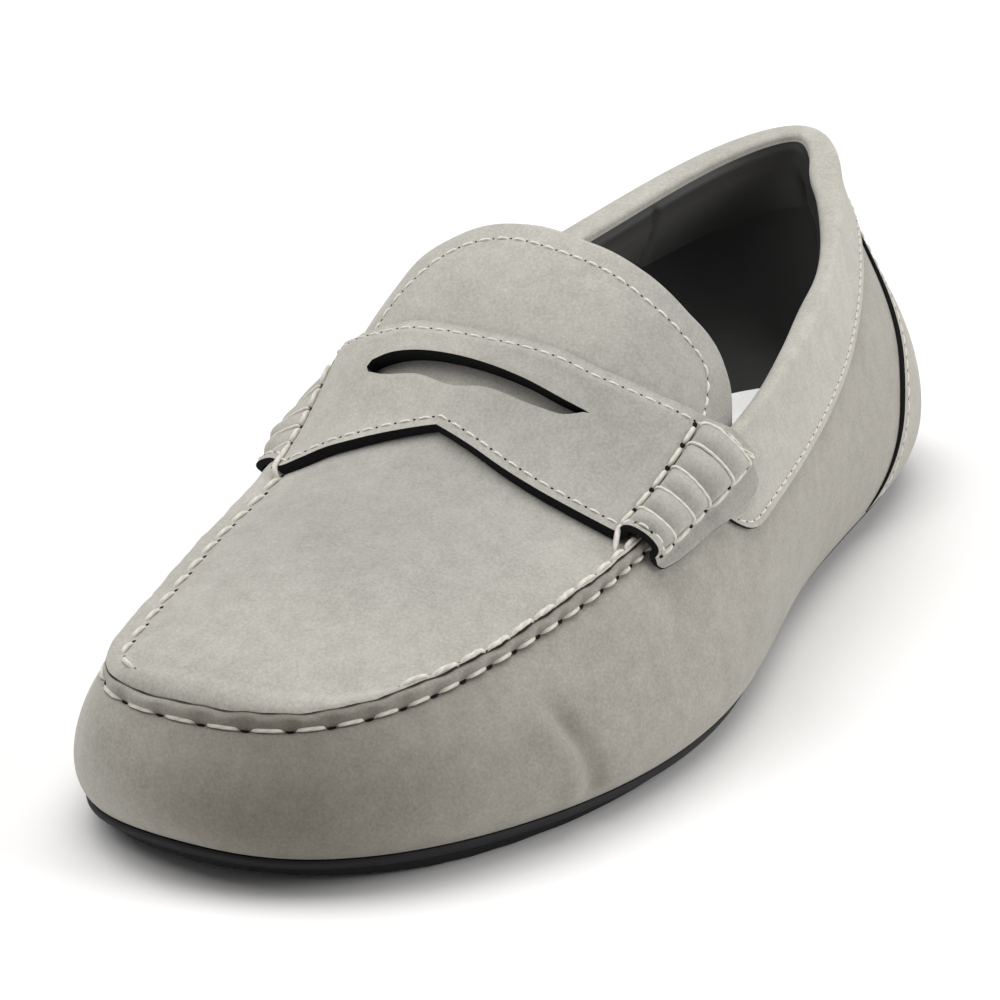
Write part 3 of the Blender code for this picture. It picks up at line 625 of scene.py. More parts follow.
def makeVamp():
    below = np.concatenate([np.linspace(0, 0.875, vamp["low"]), np.linspace(0.89, 0.992, 11)])
    rows = np.arange(vamp["columns"])[:, None] * rowCount / vamp["columns"]
    run = seamPlace(rows)
    foot = alongSeam("foot", run)
    shares = np.hstack([foot * below, between(foot, 1, np.array(vamp["ridgeSteps"]))])
    outer = vampFace(rows, shares)
    inner = wall(rows, shares, last["wall"])
    ids = gridIds(*shares.shape)
    quads = gridQuads(np.vstack([ids, ids[:1]]))
    index = np.zeros(quads.shape[:2], int)
    index[:, -1] = 1
    rise = np.clip((shares - foot) / (1 - foot), 0, 1)
    band = smoothStep(0.02, 0.2, rise) * 0.5 + smoothStep(0.5, 1.0, rise) * 0.22   # darker along the ridge
    band = band * (1 - 0.4 * bell(run, 35))
    pits = nearHole(run, 1.6) * smoothStep(0.0, 0.15, rise) * (1 - smoothStep(0.2, 0.8, rise))
    tone = (band + vamp["holeTone"] * pits) * seamSize(rows) + vamp["footTone"] * bell(shares, 0.16)
    # painted shade: the toe and the walls darker, the outer wall most
    paintedWallShade = vamp["paintedToeShade"] * bell(signedRow(rows) - 0.9, 1.3)
    paintedWallShade = paintedWallShade + vamp["paintedSideShade"] * between(0.42, 1, smoothStep(-0.8, 0.6, signedRow(rows)))
    # soil and painted shade along the crease's trough
    creaseSoilAndPaintedShade = crease["soilAndPaintedShade"] * bell(creaseOff(rows, shares), crease["soilAndPaintedShadeWidth"]) * creaseFade(shares)
    panel("upperWall", quads, outer, inner, [nubuck, rawEdge, lining], index, 2, 1,
          tone=np.maximum(tone, paintedWallShade) + creaseSoilAndPaintedShade, replaces=["upper"], sharp=50.0)
    path = np.linspace(-vamp["sewnTo"], vamp["sewnTo"], 900)
    share = alongSeam("foot", seamPlace(path)) + 0.002
    normals = unit(wallNormal(path, share) + outward(path) * 0.8)
    line = vampFace(path, share) + normals * 0.15
    spots = countedSpots(line, stitchCount(seamPlace(path)))
    sewnRow("vampSeam", line, normals, spots, seam["threadRadius"] * vamp["threadRadius"], vamp["hole"],
            vamp["stitchGap"], thread, vamp["bow"])


# Apron with its half of the raised seam

apron = {"rows": 170, "columns": 91, "rear": 4.167, "front": 0.012, "tintAndPaintedShade": 0.38, "groove": 0.35,
         "liftAt": (0, 0.3, 0.8, 1.5, 2.1, 2.6, 3.4, 4.6, 7.0), "slope": 2.6,
         "lift": (2.5, 2.7, 2.45, 1.75, 1.1, 0.7, 0.45, 0.2, 0), "sewnTo": 4.02, "bow": 0.7}


def seamDistance(points):  # level distance to the seam, and where along it
    flat = seamLine[:, :2].astype(np.float32)
    far = np.empty(points.shape[:2])
    run = np.empty(points.shape[:2])
    for i in range(len(points)):
        gap = np.linalg.norm(points[i, :, None, :2].astype(np.float32) - flat, axis=-1)
        near = gap.argmin(1)
        far[i] = gap[np.arange(len(near)), near]
        run[i] = seamRun[near]
    return far, run


def onSurface(points, normals, spots):  # height and normal of a net at level places, from six near points
    cloud = points.reshape(-1, 3)
    face = normals.reshape(-1, 3)
    gap = np.linalg.norm(cloud[None, :, :2].astype(np.float32) - spots[:, None].astype(np.float32), axis=-1)
    near = np.argpartition(gap, 6, axis=1)[:, :6]
    weight = 1 / (np.take_along_axis(gap, near, 1) + 0.05)**2
    weight /= weight.sum(1, keepdims=True)
    height = (cloud[near, 2] * weight).sum(1)
    facing = unit((face[near] * weight[..., None]).sum(1))
    return np.column_stack([spots, height]), np.where(facing[:, 2:] < 0, -facing, facing)


def sineSteps(count):  # from 1 to -1, closer together at both ends
    return np.sin(np.linspace(np.pi / 2, -np.pi / 2, count))


def makeApron():
    rows = between(apron["front"], apron["rear"], np.linspace(0, 1, apron["rows"])[:, None] ** 1.6)
    across = sineSteps(apron["columns"])[None]
    base = crown(rows, across)
    far, run = seamDistance(base)
    lift = through(far * apron["slope"] / alongSeam("width", run), apron["liftAt"], apron["lift"])
    lift = lift + cutWave(run) * (1 - smoothStep(0, 2.0, far))
    lift = lift - apron["groove"] * bell(far - alongSeam("plug", run), 0.8) * smoothStep(-12.0, -30.0, run)
    outer = base + up * (lift * seamSize(rows) * ridgeScale(run))[..., None]
    inner = crown(rows, across, last["wall"])
    tone = apron["tintAndPaintedShade"] * bell(rows - 3.2, 1.1) * (1 - across**2)   # darker and bluer in the middle, towards the strap
    panel("apron", net(base), outer, inner, [tintedAndShadedNubuck, lining, rawEdge], 0, 1, 2,
          tone=tone, replaces=["upper"], sharp=60.0)
    path = np.linspace(-apron["sewnTo"], apron["sewnTo"], 900)
    edge = wallTop(path)[:, :2]
    slope = np.gradient(edge, axis=0)
    inward = unit(np.stack([-slope[:, 1], slope[:, 0]], -1))
    spot = edge + inward * alongSeam("plug", seamPlace(path))[:, None]
    line, normals = onSurface(outer, gridNormals(outer), spot)
    spots = countedSpots(line, stitchCount(seamPlace(path)))
    at = seamPlace(np.interp(spots, runAlong(line), path))
    for name, keep in (("plugInner", at < -4), ("plugOuter", at > 40)):   # at the toe the fold hides them
        here = at[keep]
        hole = np.interp(here, (-25, -10), (0.38, 0.15))
        gap = np.interp(here[:-1], (-30, 20), (1.5, 0.5))
        slant = np.interp(here[:-1], (-32, -18), (1.1, 0.0))
        sewnRow(name, line, normals, spots[keep], seam["threadRadius"], hole, gap, thread,
                apron["bow"], slant)


# Tongue: the apron's arch carried on, its sides slipping inside the collar

tongue = {"front": 4.181, "side": 0.98, "thick": 2.4, "rows": 60, "columns": 130,
          "fullFrom": 4.36, "fullTo": 4.74, "fullness": (4.6, 4.3), "crest": 0.5,   # outer, inner
          "dip": 1.0, "dipFront": (4.18, 4.24), "dipRear": (4.44, 4.34),   # it sinks under the slit
          "dipSide": (0.65, 0.85),
          "tintAndPaintedShade": 0.34, "inset": 1.6, "tuck": 3.0, "slipFront": 4.4, "slipRear": 4.95,
          "edge": [(-0.98, 4.83), (-0.6, 4.91), (-0.42, 5.005), (-0.2, 5.05), (0.18, 5.01), (0.48, 4.985),
                   (0.69, 5.015), (0.87, 5.087), (0.92, 5.067), (0.98, 4.96)],
          "stitches": [(0.91, 4.45), (0.9, 4.75), (0.87, 4.9), (0.82, 4.95), (0.7, 4.91), (0.51, 4.88),
                       (0.18, 4.917), (-0.19, 4.957), (-0.4, 4.912), (-0.55, 4.815), (-0.65, 4.69),
                       (-0.71, 4.57), (-0.75, 4.42)]}


def bySide(place, pair):  # the outer side's value, or the inner side's where place is below 0
    return np.where(place < 0, pair[1], pair[0])


def tongueSheet(row, across):
    slip = smoothStep(tongue["slipFront"], tongue["slipRear"], row)[..., None]
    tuck = up * tongue["tuck"]
    inner, outer = [wallTop(r) - slip * (outward(r) * tongue["inset"] + tuck) for r in (-row, row)]
    share = ((1 + across) / 2)[..., None]
    fuller = smoothStep(tongue["fullFrom"], tongue["fullTo"], row)[..., None]
    shifted = fromCrest(across)[..., None]
    at = stationAt(row)
    fullness = between(at[..., 11:12], bySide(shifted, tongue["fullness"]), fuller)
    height = at[..., 10:11] + slip * tongue["tuck"] + fuller * tongue["crest"]
    rise = height * (1 - np.abs(shifted)**fullness)
    dip = tongue["dip"] * smoothStep(*tongue["dipFront"], row) * smoothStep(*tongue["dipRear"], row)
    dip = dip[..., None] * (1 - smoothStep(*tongue["dipSide"], np.abs(shifted)))
    return inner * (1 - share) + outer * share + up * (rise - dip)


def makeTongue():
    across = np.linspace(tongue["side"], -tongue["side"], tongue["columns"])
    rear = through(across, *np.transpose(tongue["edge"]))
    rows = between(tongue["front"], rear[None], np.linspace(0, 1, tongue["rows"])[:, None])
    across = np.broadcast_to(across, rows.shape)
    outer = tongueSheet(rows, across)
    inner = outer - gridNormals(outer) * tongue["thick"]
    # painted shade: the tongue's outer half darker
    tone = tongue["tintAndPaintedShade"] * smoothStep(0.2, 0.7, across)
    panel("tongueFlap", net(rows), outer, inner, [tintedAndShadedNubuck, lining],
          0, 1, 0, rings=5, bulge=tongue["thick"] * 0.5, tone=tone, replaces=["tongue"], sharp=60.0)
    knots = np.array(tongue["stitches"])
    steps = np.arange(len(knots))
    place = np.linspace(0, steps[-1], 600)
    side, row = [through(place, steps, knots[:, k]) for k in range(2)]
    face = normalOf(tongueSheet, row, side, -1.0)
    face = np.where(face[:, 2:] < 0, -face, face)
    sewEvenly("tongueEdge", tongueSheet(row, side), face, **tongueStitch)


# Saddle strap: over the apron, round the seam as a laced roll, down the wall as a flap.
# A place runs from the inner flap's edge over the instep, 0, to the outer flap's; pairs are outer, inner.

strap = {"gap": 0.2, "thick": 2.3, "flapThick": 0.9, "rollThin": 0.3, "tintAndPaintedShade": 0.25, "shift": 0.15,
         "wallStep": 1.3, "roundOver": 0.075,
         "climbFront": 4.28, "climbRear": 4.40, "climb": 1.6, "tailClimb": 1.8,
         "sideClimb": (1.0, 0.5), "flapSide": (1.0, 1.09), "tailRows": (4.6, 4.8), "tailSide": (0.9, 0.97),
         "skive": 0.78, "skiveRun": 0.085, "skiveSide": (0.78, 0.9),   # skived flush along the rear
         "thinShare": (0.90, 0.94), "rollSide": (0.9, 0.95), "paintedShadeSide": (-0.3, 0.3),
         "at": (0, 0.2, 0.4, 0.56, 0.68, 0.8, 0.925, 0.965, 1.0, 1.045, 1.1, 1.135, 1.165, 1.19),
         "front": ((3.95, 3.875, 3.80, 3.765, 3.755, 3.755, 3.765, 3.775, 3.78, 3.78, 3.78, 3.79, 3.82, 3.94),
                   (3.95, 3.86, 3.785, 3.737, 3.68, 3.65, 3.75, 3.79, 3.81, 3.82, 3.82, 3.82, 3.84, 3.94)),
         "rear": (4.50, 4.50, 4.50, 4.50, 4.53, 4.59, 4.70, 4.76, 4.80, 4.82, 4.82, 4.80, 4.77, 4.69),
         "rearShare": (1, 1, 1, 1, 1, 1, 1, 1, 1, 0.965, 0.925, 0.870, 0.825, 0.807),
         "steps": 26, "frontIn": 0.058, "frontSewn": 1.09, "rearIn": 0.05, "rearSewn": 1.03,
         "tack": ((0.96, 4.72, 1.09, 4.80), (1.03, 4.74, 1.10, 4.80))}   # place and row of both ends
slit = {"lowAt": (-0.63, -0.55, -0.35, -0.17, -0.03, 0.27, 0.40, 0.485),
        "low": (4.25, 4.222, 4.22, 4.19, 4.215, 4.208, 4.23, 4.29),
        "highAt": (-0.63, -0.5, -0.2, 0.17, 0.35, 0.485), "high": (4.30, 4.32, 4.333, 4.302, 4.285, 4.292),
        "closed": (4.275, 4.291), "lip": 0.8, "lipReach": 0.07, "lipDeep": 1.0}
roll = {"heightAt": (0.0, 0.15, 0.35, 0.6, 0.8, 1.0),   # share of the way from the first hole to the last
        "height": ((3.9, 4.03, 4.2, 4.45, 4.6, 4.8), (1.9, 2.6, 3.2, 2.8, 2.1, 1.5)),
        "pinch": (1.7, 0.9), "endFront": (4.58, 4.42), "endRear": (4.70, 4.58), "overhang": 0.3,
        # painted shade in the roll's valleys and on the flap below it
        "lean": (0.0, 1.1), "paintedValleyShade": 0.18, "paintedFlapShade": 0.42,
        "strapSide": (0.91, 0.87), "flapSide": 1.083, "holesOut": 0.012,
        "leadEdge": (0.0, -0.04), "leadRow": (3.64, 3.56),   # loose thread in front, and where it ends
        "leadTo": ((0.8, -2.1, 2.8), (-0.6, 5.9, 1.9)),
        "strapHoles": ((3.81, 3.97, 4.15, 4.315, 4.47, 4.60), (3.90, 4.05, 4.19, 4.35, 4.50)),
        "flapHoles": ((3.83, 3.95, 4.155, 4.31, 4.52, 4.72), (3.91, 4.05, 4.20, 4.36, 4.53)),
        "threadPoints": 25, "wrapRadius": 0.42, "runRadius": 0.58, "tackRadius": 0.3, "hole": 0.55}


def rollShape(place, row):  # share across the roll, its height over the chord, what is left of it, valleys
    strapSide = bySide(place, roll["strapSide"])
    across = np.clip((np.abs(place) - strapSide) / (roll["flapSide"] - strapSide), 0, 1)
    shapes = []
    for k in range(2):
        strapHoles = np.array(roll["strapHoles"][k])
        flapHoles = np.array(roll["flapHoles"][k])
        eased = row - across * np.interp(row, flapHoles, flapHoles - strapHoles)
        lobe = np.interp(eased, strapHoles, np.arange(len(strapHoles)))
        valley = (1 - np.abs(np.sin(np.pi * lobe)) ** 0.75) * np.where(eased < strapHoles[0], 0.2, 1)
        height = through((eased - strapHoles[0]) / np.ptp(strapHoles), roll["heightAt"], roll["height"][k])
        left = 1 - smoothStep(roll["endFront"][k], roll["endRear"][k], eased)
        shapes.append((height - roll["pinch"][k] * valley, left, valley))
    height, left, valley = [bySide(place, pair) for pair in zip(*shapes)]
    return across, height, left * (across > 0) * (across < 1), valley


def alongStrap(place, values):
    return through(np.abs(place), strap["at"], values)


def strapEdges(place):
    front = bySide(place, [alongStrap(place, values) for values in strap["front"]])
    return front, alongStrap(place, strap["rear"])


def strapAcross(place):  # place as the crown counts it
    across = np.clip(place, -1, 1)
    return across - strap["shift"] * (1 - across**2)


def slitRows(place):
    across = strapAcross(place)
    inside = (np.abs(place) < 1) & (across > slit["lowAt"][0]) & (across < slit["lowAt"][-1])
    closed = np.where(across < 0, *slit["closed"])
    low = np.where(inside, through(across, slit["lowAt"], slit["low"]), closed)
    high = np.where(inside, through(across, slit["highAt"], slit["high"]), closed)
    return low, high, inside


def slitLip(place, row):  # how far the slit's rear lip stands up and reaches down, as a bell
    _, high, inside = slitRows(place)
    across = strapAcross(place)
    ends = smoothStep(slit["lowAt"][0] - 0.04, -0.50, across) * smoothStep(slit["lowAt"][-1], 0.3, across)
    lip = inside * (row > high - 1e-6) * bell(row - high, slit["lipReach"])
    return lip * ends * slit["lip"], lip * slit["lipDeep"]


def strapDrape(place, row):  # crown or wall, raised by the leather, which climbs over the collar's tip
    place, row = paired(place, row)
    size = np.abs(place)
    side = bySide(place, (1.0, -1.0))
    front, rear = strapEdges(place)
    across = strapAcross(place)
    onWall = size > 1
    run = np.clip((row - front) / (rear - front), 0, 1)
    down = np.clip(size - 1, 0, None) / strap["wallStep"]
    share = between(1 - down, alongStrap(place, strap["rearShare"]), run)
    share = np.where(onWall, share, 1.0)
    flat = np.where(onWall[..., None], wall(side * row, share), crown(row, across))
    faceWall = wallNormal(side * row, np.minimum(share, 0.999))
    faceCrown = crownNormal(row, np.clip(across, -0.999, 0.999))
    corner = unit(wallNormal(side * row, 0 * share + 0.999) + crownNormal(row, 0.999 * side))
    blend = np.clip(1 - np.where(onWall, 1 - share, 1 - size) / strap["roundOver"], 0, 1)[..., None]
    normal = unit(between(np.where(onWall[..., None], faceWall, faceCrown), corner, blend))
    leather = np.interp(share, strap["thinShare"], (strap["flapThick"], strap["thick"]))
    onFlap = smoothStep(*strap["flapSide"], size)
    climb = strap["climb"] * smoothStep(strap["climbFront"], strap["climbRear"], row) * onFlap
    tail = smoothStep(*strap["tailRows"], row) * smoothStep(*strap["tailSide"], size) * (1 - onFlap)
    climb = (climb + strap["tailClimb"] * tail) * bySide(place, strap["sideClimb"])
    thin = smoothStep(rear - strap["skiveRun"], rear, row) * (1 - smoothStep(*strap["skiveSide"], size))
    lipUp, lipDown = slitLip(place, row)
    leather = (leather + lipUp) * (1 - strap["skive"] * thin)
    point = flat + normal * (strap["gap"] + climb + leather)[..., None]
    onRoll = smoothStep(*strap["rollSide"], size)
    return point, normal, (leather + lipDown) * (1 - strap["rollThin"] * onRoll)


def strapFace(place, row):  # the drape, and an arch of leather on the chord between the two rows of holes
    place, row = paired(place, row)
    side = bySide(place, (1.0, -1.0))
    point, normal, leather = strapDrape(place, row)
    start, startNormal, _ = strapDrape(side * bySide(place, roll["strapSide"]), row)
    end, endNormal, _ = strapDrape(side * roll["flapSide"], row)
    across, height, left, _ = rollShape(place, row)
    turn = np.pi * across
    chord = end - start
    away = startNormal + endNormal
    away = unit(away - chord * ((away * chord).sum(-1) / (chord * chord).sum(-1))[..., None])
    along = 0.5 - 0.5 * np.cos(turn) * (1 + roll["overhang"] * np.sin(turn))
    lean = 1 + bySide(place, roll["lean"]) * (along - 0.5)
    arched = start + chord * along[..., None] + away * (height * lean * np.sin(turn) ** 0.85)[..., None]
    half = np.linalg.norm(chord, axis=-1) / 2
    facing = unit(away * (half * np.sin(turn))[..., None] - unit(chord) * (height * np.cos(turn))[..., None])
    keep = left[..., None]
    return between(point, arched, keep), unit(between(normal, facing, keep)), leather


def makeStrap():
    half = [np.linspace(0, 0.86, 40)[:-1], np.linspace(0.86, 1.12, 54)[:-1]]   # closest over the roll
    half = np.concatenate(half + [np.linspace(1.12, strap["at"][-1], 12)])
    place = np.concatenate([half[::-1], -half[1:]])
    front, rear = strapEdges(place)
    low, high, inside = slitRows(place)
    count = strap["steps"]
    steps = np.linspace(0, 1, count)[:, None]
    row = np.vstack([between(front, low, steps), between(high, rear, steps)])
    outer, normal, leather = strapFace(place[None], row)
    inner = outer - normal * leather[..., None]
    ids = gridIds(*row.shape)
    ids[count, ~inside] = ids[count - 1, ~inside]
    quads = np.concatenate([gridQuads(ids[:count]), gridQuads(ids[count:])])[..., ::-1]
    across, _, left, valley = rollShape(place[None], row)
    # painted shade: in the roll's valleys and along its feet, on the strap's outer half, and on the flap
    foot = np.clip(np.maximum(1 - across / 0.14, 1 - (1 - across) / 0.2), 0, 1)
    tone = left * roll["paintedValleyShade"] * np.maximum(valley, foot)
    tone = tone + strap["tintAndPaintedShade"] * smoothStep(*strap["paintedShadeSide"], place)
    tone = np.maximum(tone, roll["paintedFlapShade"] * smoothStep(1.07, 1.1, np.abs(place)))
    panel("strap", quads, outer, inner, [tintedAndShadedNubuck, cutEdge], 0, 1, 1, rings=3, bulge=0.12,
          tone=tone, replaces=["saddle_strap"], sharp=50.0)


def divePast(power):  # 1 at both ends of a thread and 0 between
    return np.abs(np.linspace(-1, 1, roll["threadPoints"]))[:, None] ** power


def overStrap(place, row, lift, deep, power):  # path of a thread over the strap, diving in at both ends
    point, normal, _ = strapFace(place, row)
    return point + normal * lift - normal * divePast(power) * deep, normal


def stacked(rows):  # pairs of path and normals as two arrays
    return [np.array(part) for part in zip(*rows)]


def sewStrap():
    edges = (("strapFront", 0, strap["frontIn"], strap["frontSewn"], 700),
             ("strapRear", 1, -strap["rearIn"], strap["rearSewn"], 600))
    for name, which, inside, sewn, count in edges:
        place = np.linspace(sewn, -sewn, count)
        line, normal, _ = strapFace(place, strapEdges(place)[which] + inside)
        sewEvenly(name, line, normal, **strapStitch)
    t = np.linspace(0, 1, roll["threadPoints"])
    wraps = []
    runs = []
    holes = []
    tacks = []
    out = roll["holesOut"]
    for k, side in enumerate((1, -1)):
        near = roll["strapSide"][k]
        far = roll["flapSide"]
        for a, b in zip(roll["strapHoles"][k], roll["flapHoles"][k]):
            wraps.append(overStrap(side * between(near, far, t), between(a, b, t), 0.2, 0.8, 12))
        for key, reach in (("strapHoles", near - out), ("flapHoles", far + out)):
            rows = np.array(roll[key][k])
            for a, b in zip(rows, rows[1:]):
                shares = np.linspace(0.1, 0.86, len(t))
                runs.append(overStrap(side * reach, between(a, b, shares), 0.5, 0.8, 8))
            point, normal, _ = strapFace(side * reach, rows)
            holes.append((point, normal, np.gradient(point, axis=0)))
        lead = roll["leadEdge"][k]
        edge = strapEdges(np.array(side * (near + lead)))[0]
        share = np.array([0.0, 0.5, 1.0])
        first = roll["strapHoles"][k][0]
        place = side * (near - out + (lead + out) * share)
        over, normal, _ = strapFace(place, between(first, edge - 0.01, share))
        final = wallTop(np.array([side * roll["leadRow"][k]])) + roll["leadTo"][k]
        knots = np.vstack([over + normal * 0.5, final])
        path = np.stack([through(t, (0, 0.25, 0.5, 1), knots[:, axis]) for axis in range(3)], -1)
        runs.append((path - up * divePast(10) * 0.6, np.repeat(normal[:1], len(t), 0)))
        for a, rowA, b, rowB in strap["tack"]:
            tacks.append(overStrap(side * between(a, b, t), between(rowA, rowB, t), 0.25, 0.6, 10))
    tubes("rollWrapThread", *stacked(wraps), roll["wrapRadius"], thread)
    tubes("rollRunThread", *stacked(runs), roll["runRadius"], thread)
    centres, normals, alongs = [np.concatenate(part) for part in zip(*holes)]
    holeShadePlugs("rollHoleShade", centres, normals, unit(alongs), roll["hole"])
    tubes("tackThread", *stacked(tacks), roll["tackRadius"], thread)


# Collar: padded band folded over the top line; nubuck outside and over the top, lining inside

collar = {"front": 4.44, "wrapFront": 4.78, "wrapRear": 4.94, "tipReach": 0.24, "low": 0.67, "lowRise": 0.11,
          "tipRise": 0.18, "tipRun": 0.42, "lift": 1.2, "gap": 0.3, "padFront": 0.6, "pad": 2.4,
          "padRows": (5.0, 6.2), "riseRows": (5.0, 7.2), "stitchIn": 0.032,
          "lipRow": (4.8, 5.2, 5.6, 5.9, 6.26, 6.5, 6.72, 6.95, 7.2, 7.5, 8.0, 9.0, 10.4, 11.2),
          "lip": (0, -0.4, 0.3, 0.6, -0.8, -0.6, 0.1, 1.0, 2.5, 2.0, 1.7, 1.7, 1.7, 0),
          "face": (0.0, 0.3, 0.62, 0.93), "inside": (0.94, 0.86, 0.74), "swell": (1.0, 0.9, 0.45),
          "rows": 210, "steps": 46, "liningFrom": 0.682, "fold": 0.22,
          "seamRow": 9.43, "seamLean": 0.06, "seamDeep": 0.3, "seamWidth": 0.018}   # upright, in the lining


def collarEdge(row):
    back = fromToe(row)
    tip = np.clip((collar["front"] + collar["tipRun"] - back) / collar["tipRun"], 0, 1)
    rise = collar["lowRise"] * smoothStep(*collar["riseRows"], back)
    return collar["low"] + rise + collar["tipRise"] * tip**5


def collarLines(rows):  # control lines of both faces, from the lower edge over the top to the inside
    low = collarEdge(rows)
    out = outward(rows)
    pad = between(collar["padFront"], collar["pad"], smoothStep(*collar["padRows"], fromToe(rows)))
    lip = through(np.mod(rows, rowCount), collar["lipRow"], collar["lip"])
    over = wallTop(rows)
    within = wallTop(rows, last["wall"])
    middle = (over + within) / 2
    face = []
    back = []
    for share in collar["face"]:
        place = between(low, 1, share)
        normal = wallNormal(rows, np.minimum(place, 0.998))
        face.append(wall(rows, place) + normal * collar["lift"])
        back.append(wall(rows, place) + normal * collar["gap"])
    rim = up * last["rim"]
    hug = up * collar["gap"]
    face += [over + out * 0.9 + rim * 0.8, middle - out * (lip * 0.5)[:, None] + rim * 1.05,
             within - out * (pad * 0.75 + lip)[:, None] + rim * 0.55]
    back += [over + out * collar["gap"] + hug, middle + hug, within - out * collar["gap"] + hug]
    for share, swell in zip(collar["inside"], collar["swell"]):
        place = 0 * rows + share
        inner = wall(rows, place, last["wall"])
        normal = wallNormal(rows, place)
        face.append(inner - normal * (collar["gap"] + (pad + lip) * swell)[:, None])
        back.append(inner - normal * collar["gap"])
    return np.array(face), np.array(back)


def acrossLines(lines, steps):  # smooth curve across control lines, steps counted from 0 to 1
    columns = np.arange(lines.shape[1])[:, None]
    return through(steps[..., None], np.linspace(0, 1, len(lines)), lines, (columns, np.arange(3)))


def makeCollar():
    half = np.concatenate([np.linspace(collar["front"], 5.0, 60)[:-1], np.linspace(5.0, 8.0, collar["rows"])])
    rows = np.concatenate([half, rowCount - half[-2::-1]])
    face, back = collarLines(rows)
    reach = between(collar["tipReach"], 1, smoothStep(collar["wrapFront"], collar["wrapRear"], fromToe(rows)))
    steps = np.linspace(0, 1, collar["steps"])[:, None] * reach[None]
    outer = acrossLines(face, steps)
    inner = acrossLines(back, steps)
    seamAt = collar["seamRow"] + collar["seamLean"] * np.clip((steps - 0.66) / 0.34, 0, 1)
    groove = bell(rows[None] - seamAt, collar["seamWidth"]) * smoothStep(0.71, 0.76, steps)
    fold = bell(steps - collar["liningFrom"], collar["seamWidth"]) * (reach[None] > 0.99)
    outer = between(outer, inner, (collar["seamDeep"] * groove + collar["fold"] * fold)[..., None])
    middle = (steps[:-1, :-1] + steps[1:, 1:]) / 2
    index = np.where(middle > collar["liningFrom"], 1, 0)
    # painted light: the lining paler just inside the fold, fading out further down
    tone = smoothStep(collar["liningFrom"], 0.8, steps) * (1 - smoothStep(0.84, 1.0, steps))
    piece = panel("collarBand", net(steps)[..., ::-1], outer, inner,
                  [nubuck, lining, cutEdge], index, 1, 2, rings=3, bulge=0.2, tone=tone,
                  replaces=["collar"], sharp=60.0)
    path = np.linspace(collar["front"] + 0.05, rowCount - collar["front"] - 0.05, 1500)
    place = collarEdge(path) + collar["stitchIn"]
    normals = wallNormal(path, place)
    sewEvenly("collarEdge", wall(path, place) + normals * collar["lift"], normals, **edgeStitch)


# Heel patch: overlay round the back with a black cut edge

patch = {"at": (0, 0.2, 0.4, 0.48, 0.55, 0.61, 0.68, 0.76, 0.87, 1.0),
         "front": (5.95, 6.19, 6.43, 6.53, 6.66, 6.82, 7.00, 7.16, 7.27, 7.31),
         "foot": 0.03, "collarGap": 0.012, "gap": 0.06,
         "liftAt": (0.03, 0.12, 0.3, 0.55, 0.75, 1.0), "lift": (0.3, 0.7, 1.1, 1.5, 1.2, 0.8),
         "skive": 0.82, "skiveRun": 0.35,   # the border is this share of the thickness, over so many rows
         "tone": 0.16, "columns": 150, "rows": 50, "stitchIn": 0.08}


def patchStart(height):
    return through(height, patch["at"], patch["front"])


def patchShare(height, row):  # share of the wall; the patch ends just under the collar
    return height * (collarEdge(row) - patch["collarGap"])


def patchLift(height, within):  # thickness over the wall, skived thin towards the sole and the borders
    border = between(patch["skive"], 1, smoothStep(0, patch["skiveRun"], within))
    return (through(height, patch["liftAt"], patch["lift"]) * border)[..., None]


def makePatch():
    height = np.linspace(patch["foot"], 1, patch["rows"])[None]
    start = patchStart(height)
    row = between(start, rowCount - start, np.linspace(0, 1, patch["columns"])[:, None])
    share = patchShare(height, row)
    normal = wallNormal(row, share)
    base = wall(row, share)
    outer = base + normal * patchLift(height, fromToe(row) - start)
    inner = base + normal * patch["gap"]
    tone = np.full(row.shape, patch["tone"])
    panel("heelPatch", net(row), outer, inner, [nubuck, cutEdge], 0, 1, 1,
          rings=3, bulge=0.15, tone=tone, replaces=["heel_patch"], sharp=50.0)
    height = np.linspace(patch["foot"] + 0.01, 0.99, 300)
    row = patchStart(height) + patch["stitchIn"]
    share = patchShare(height, row)
    for name, side in (("patchOuter", 1), ("patchInner", -1)):
        normal = wallNormal(side * row, share)
        line = wall(side * row, share) + normal * patchLift(height, patch["stitchIn"])
        sewEvenly(name, line, normal, **edgeStitch)


# Inside: insole with a plain pale heel pad that turns up at its border

insole = {"thick": 2.5, "margin": 2.7, "front": 0.1, "rear": 7.9, "ease": 0.8, "rows": 150, "columns": 41,
          "padFront": 5.45, "padRear": 7.97, "padThick": 0.8, "padCup": 0.5, "padSpread": 0.85,
          "padBend": 0.35, "padGap": 0.05, "padRows": 60, "padColumns": 61}


def soleChord(row, across, margin=0.0):  # straight line between the two edges of the sole
    inner, outer = [stationAt(r)[..., 0:3] - outward(r) * margin for r in (-row, row)]
    share = ((1 + across) / 2)[..., None]
    return inner * (1 - share) + outer * share


def easedRows(form):  # rows from front to rear, closer together at both ends by t - ease sin(2 pi t) / 2 pi
    t = np.linspace(0, 1, form["rows"])[:, None]
    return between(form["front"], form["rear"], t - form["ease"] * np.sin(2 * np.pi * t) / (2 * np.pi))


def makeInsole():
    low = soleChord(easedRows(insole), sineSteps(insole["columns"])[None], insole["margin"])
    panel("insoleBoard", net(low), low + up * insole["thick"], low,
          [lining], rings=3, bulge=0.2, replaces=["insole"])
    t = np.linspace(0, 1, insole["padRows"])[:, None]
    rows = between(insole["padFront"], insole["padRear"], t**0.8)
    across = sineSteps(insole["padColumns"])[None]
    bend = insole["padBend"] * across ** 2 * (1 - t)
    rim = np.maximum(np.abs(across) ** 8, smoothStep(7.6, insole["padRear"], rows)) * smoothStep(0.0, 0.3, t)
    margin = insole["margin"] * (1 - insole["padSpread"] * rim)[..., None]
    low = soleChord(rows + bend, across + 0 * bend, margin)
    low = low + up * (insole["thick"] + insole["padGap"] + insole["padCup"] * rim)[..., None]
    panel("heelPad", net(rim), low + up * insole["padThick"], low,
          [felt], rings=3, bulge=0.3)


# Outsole: thin plate on a forefoot pod and a heel pod, with grooves across the pods

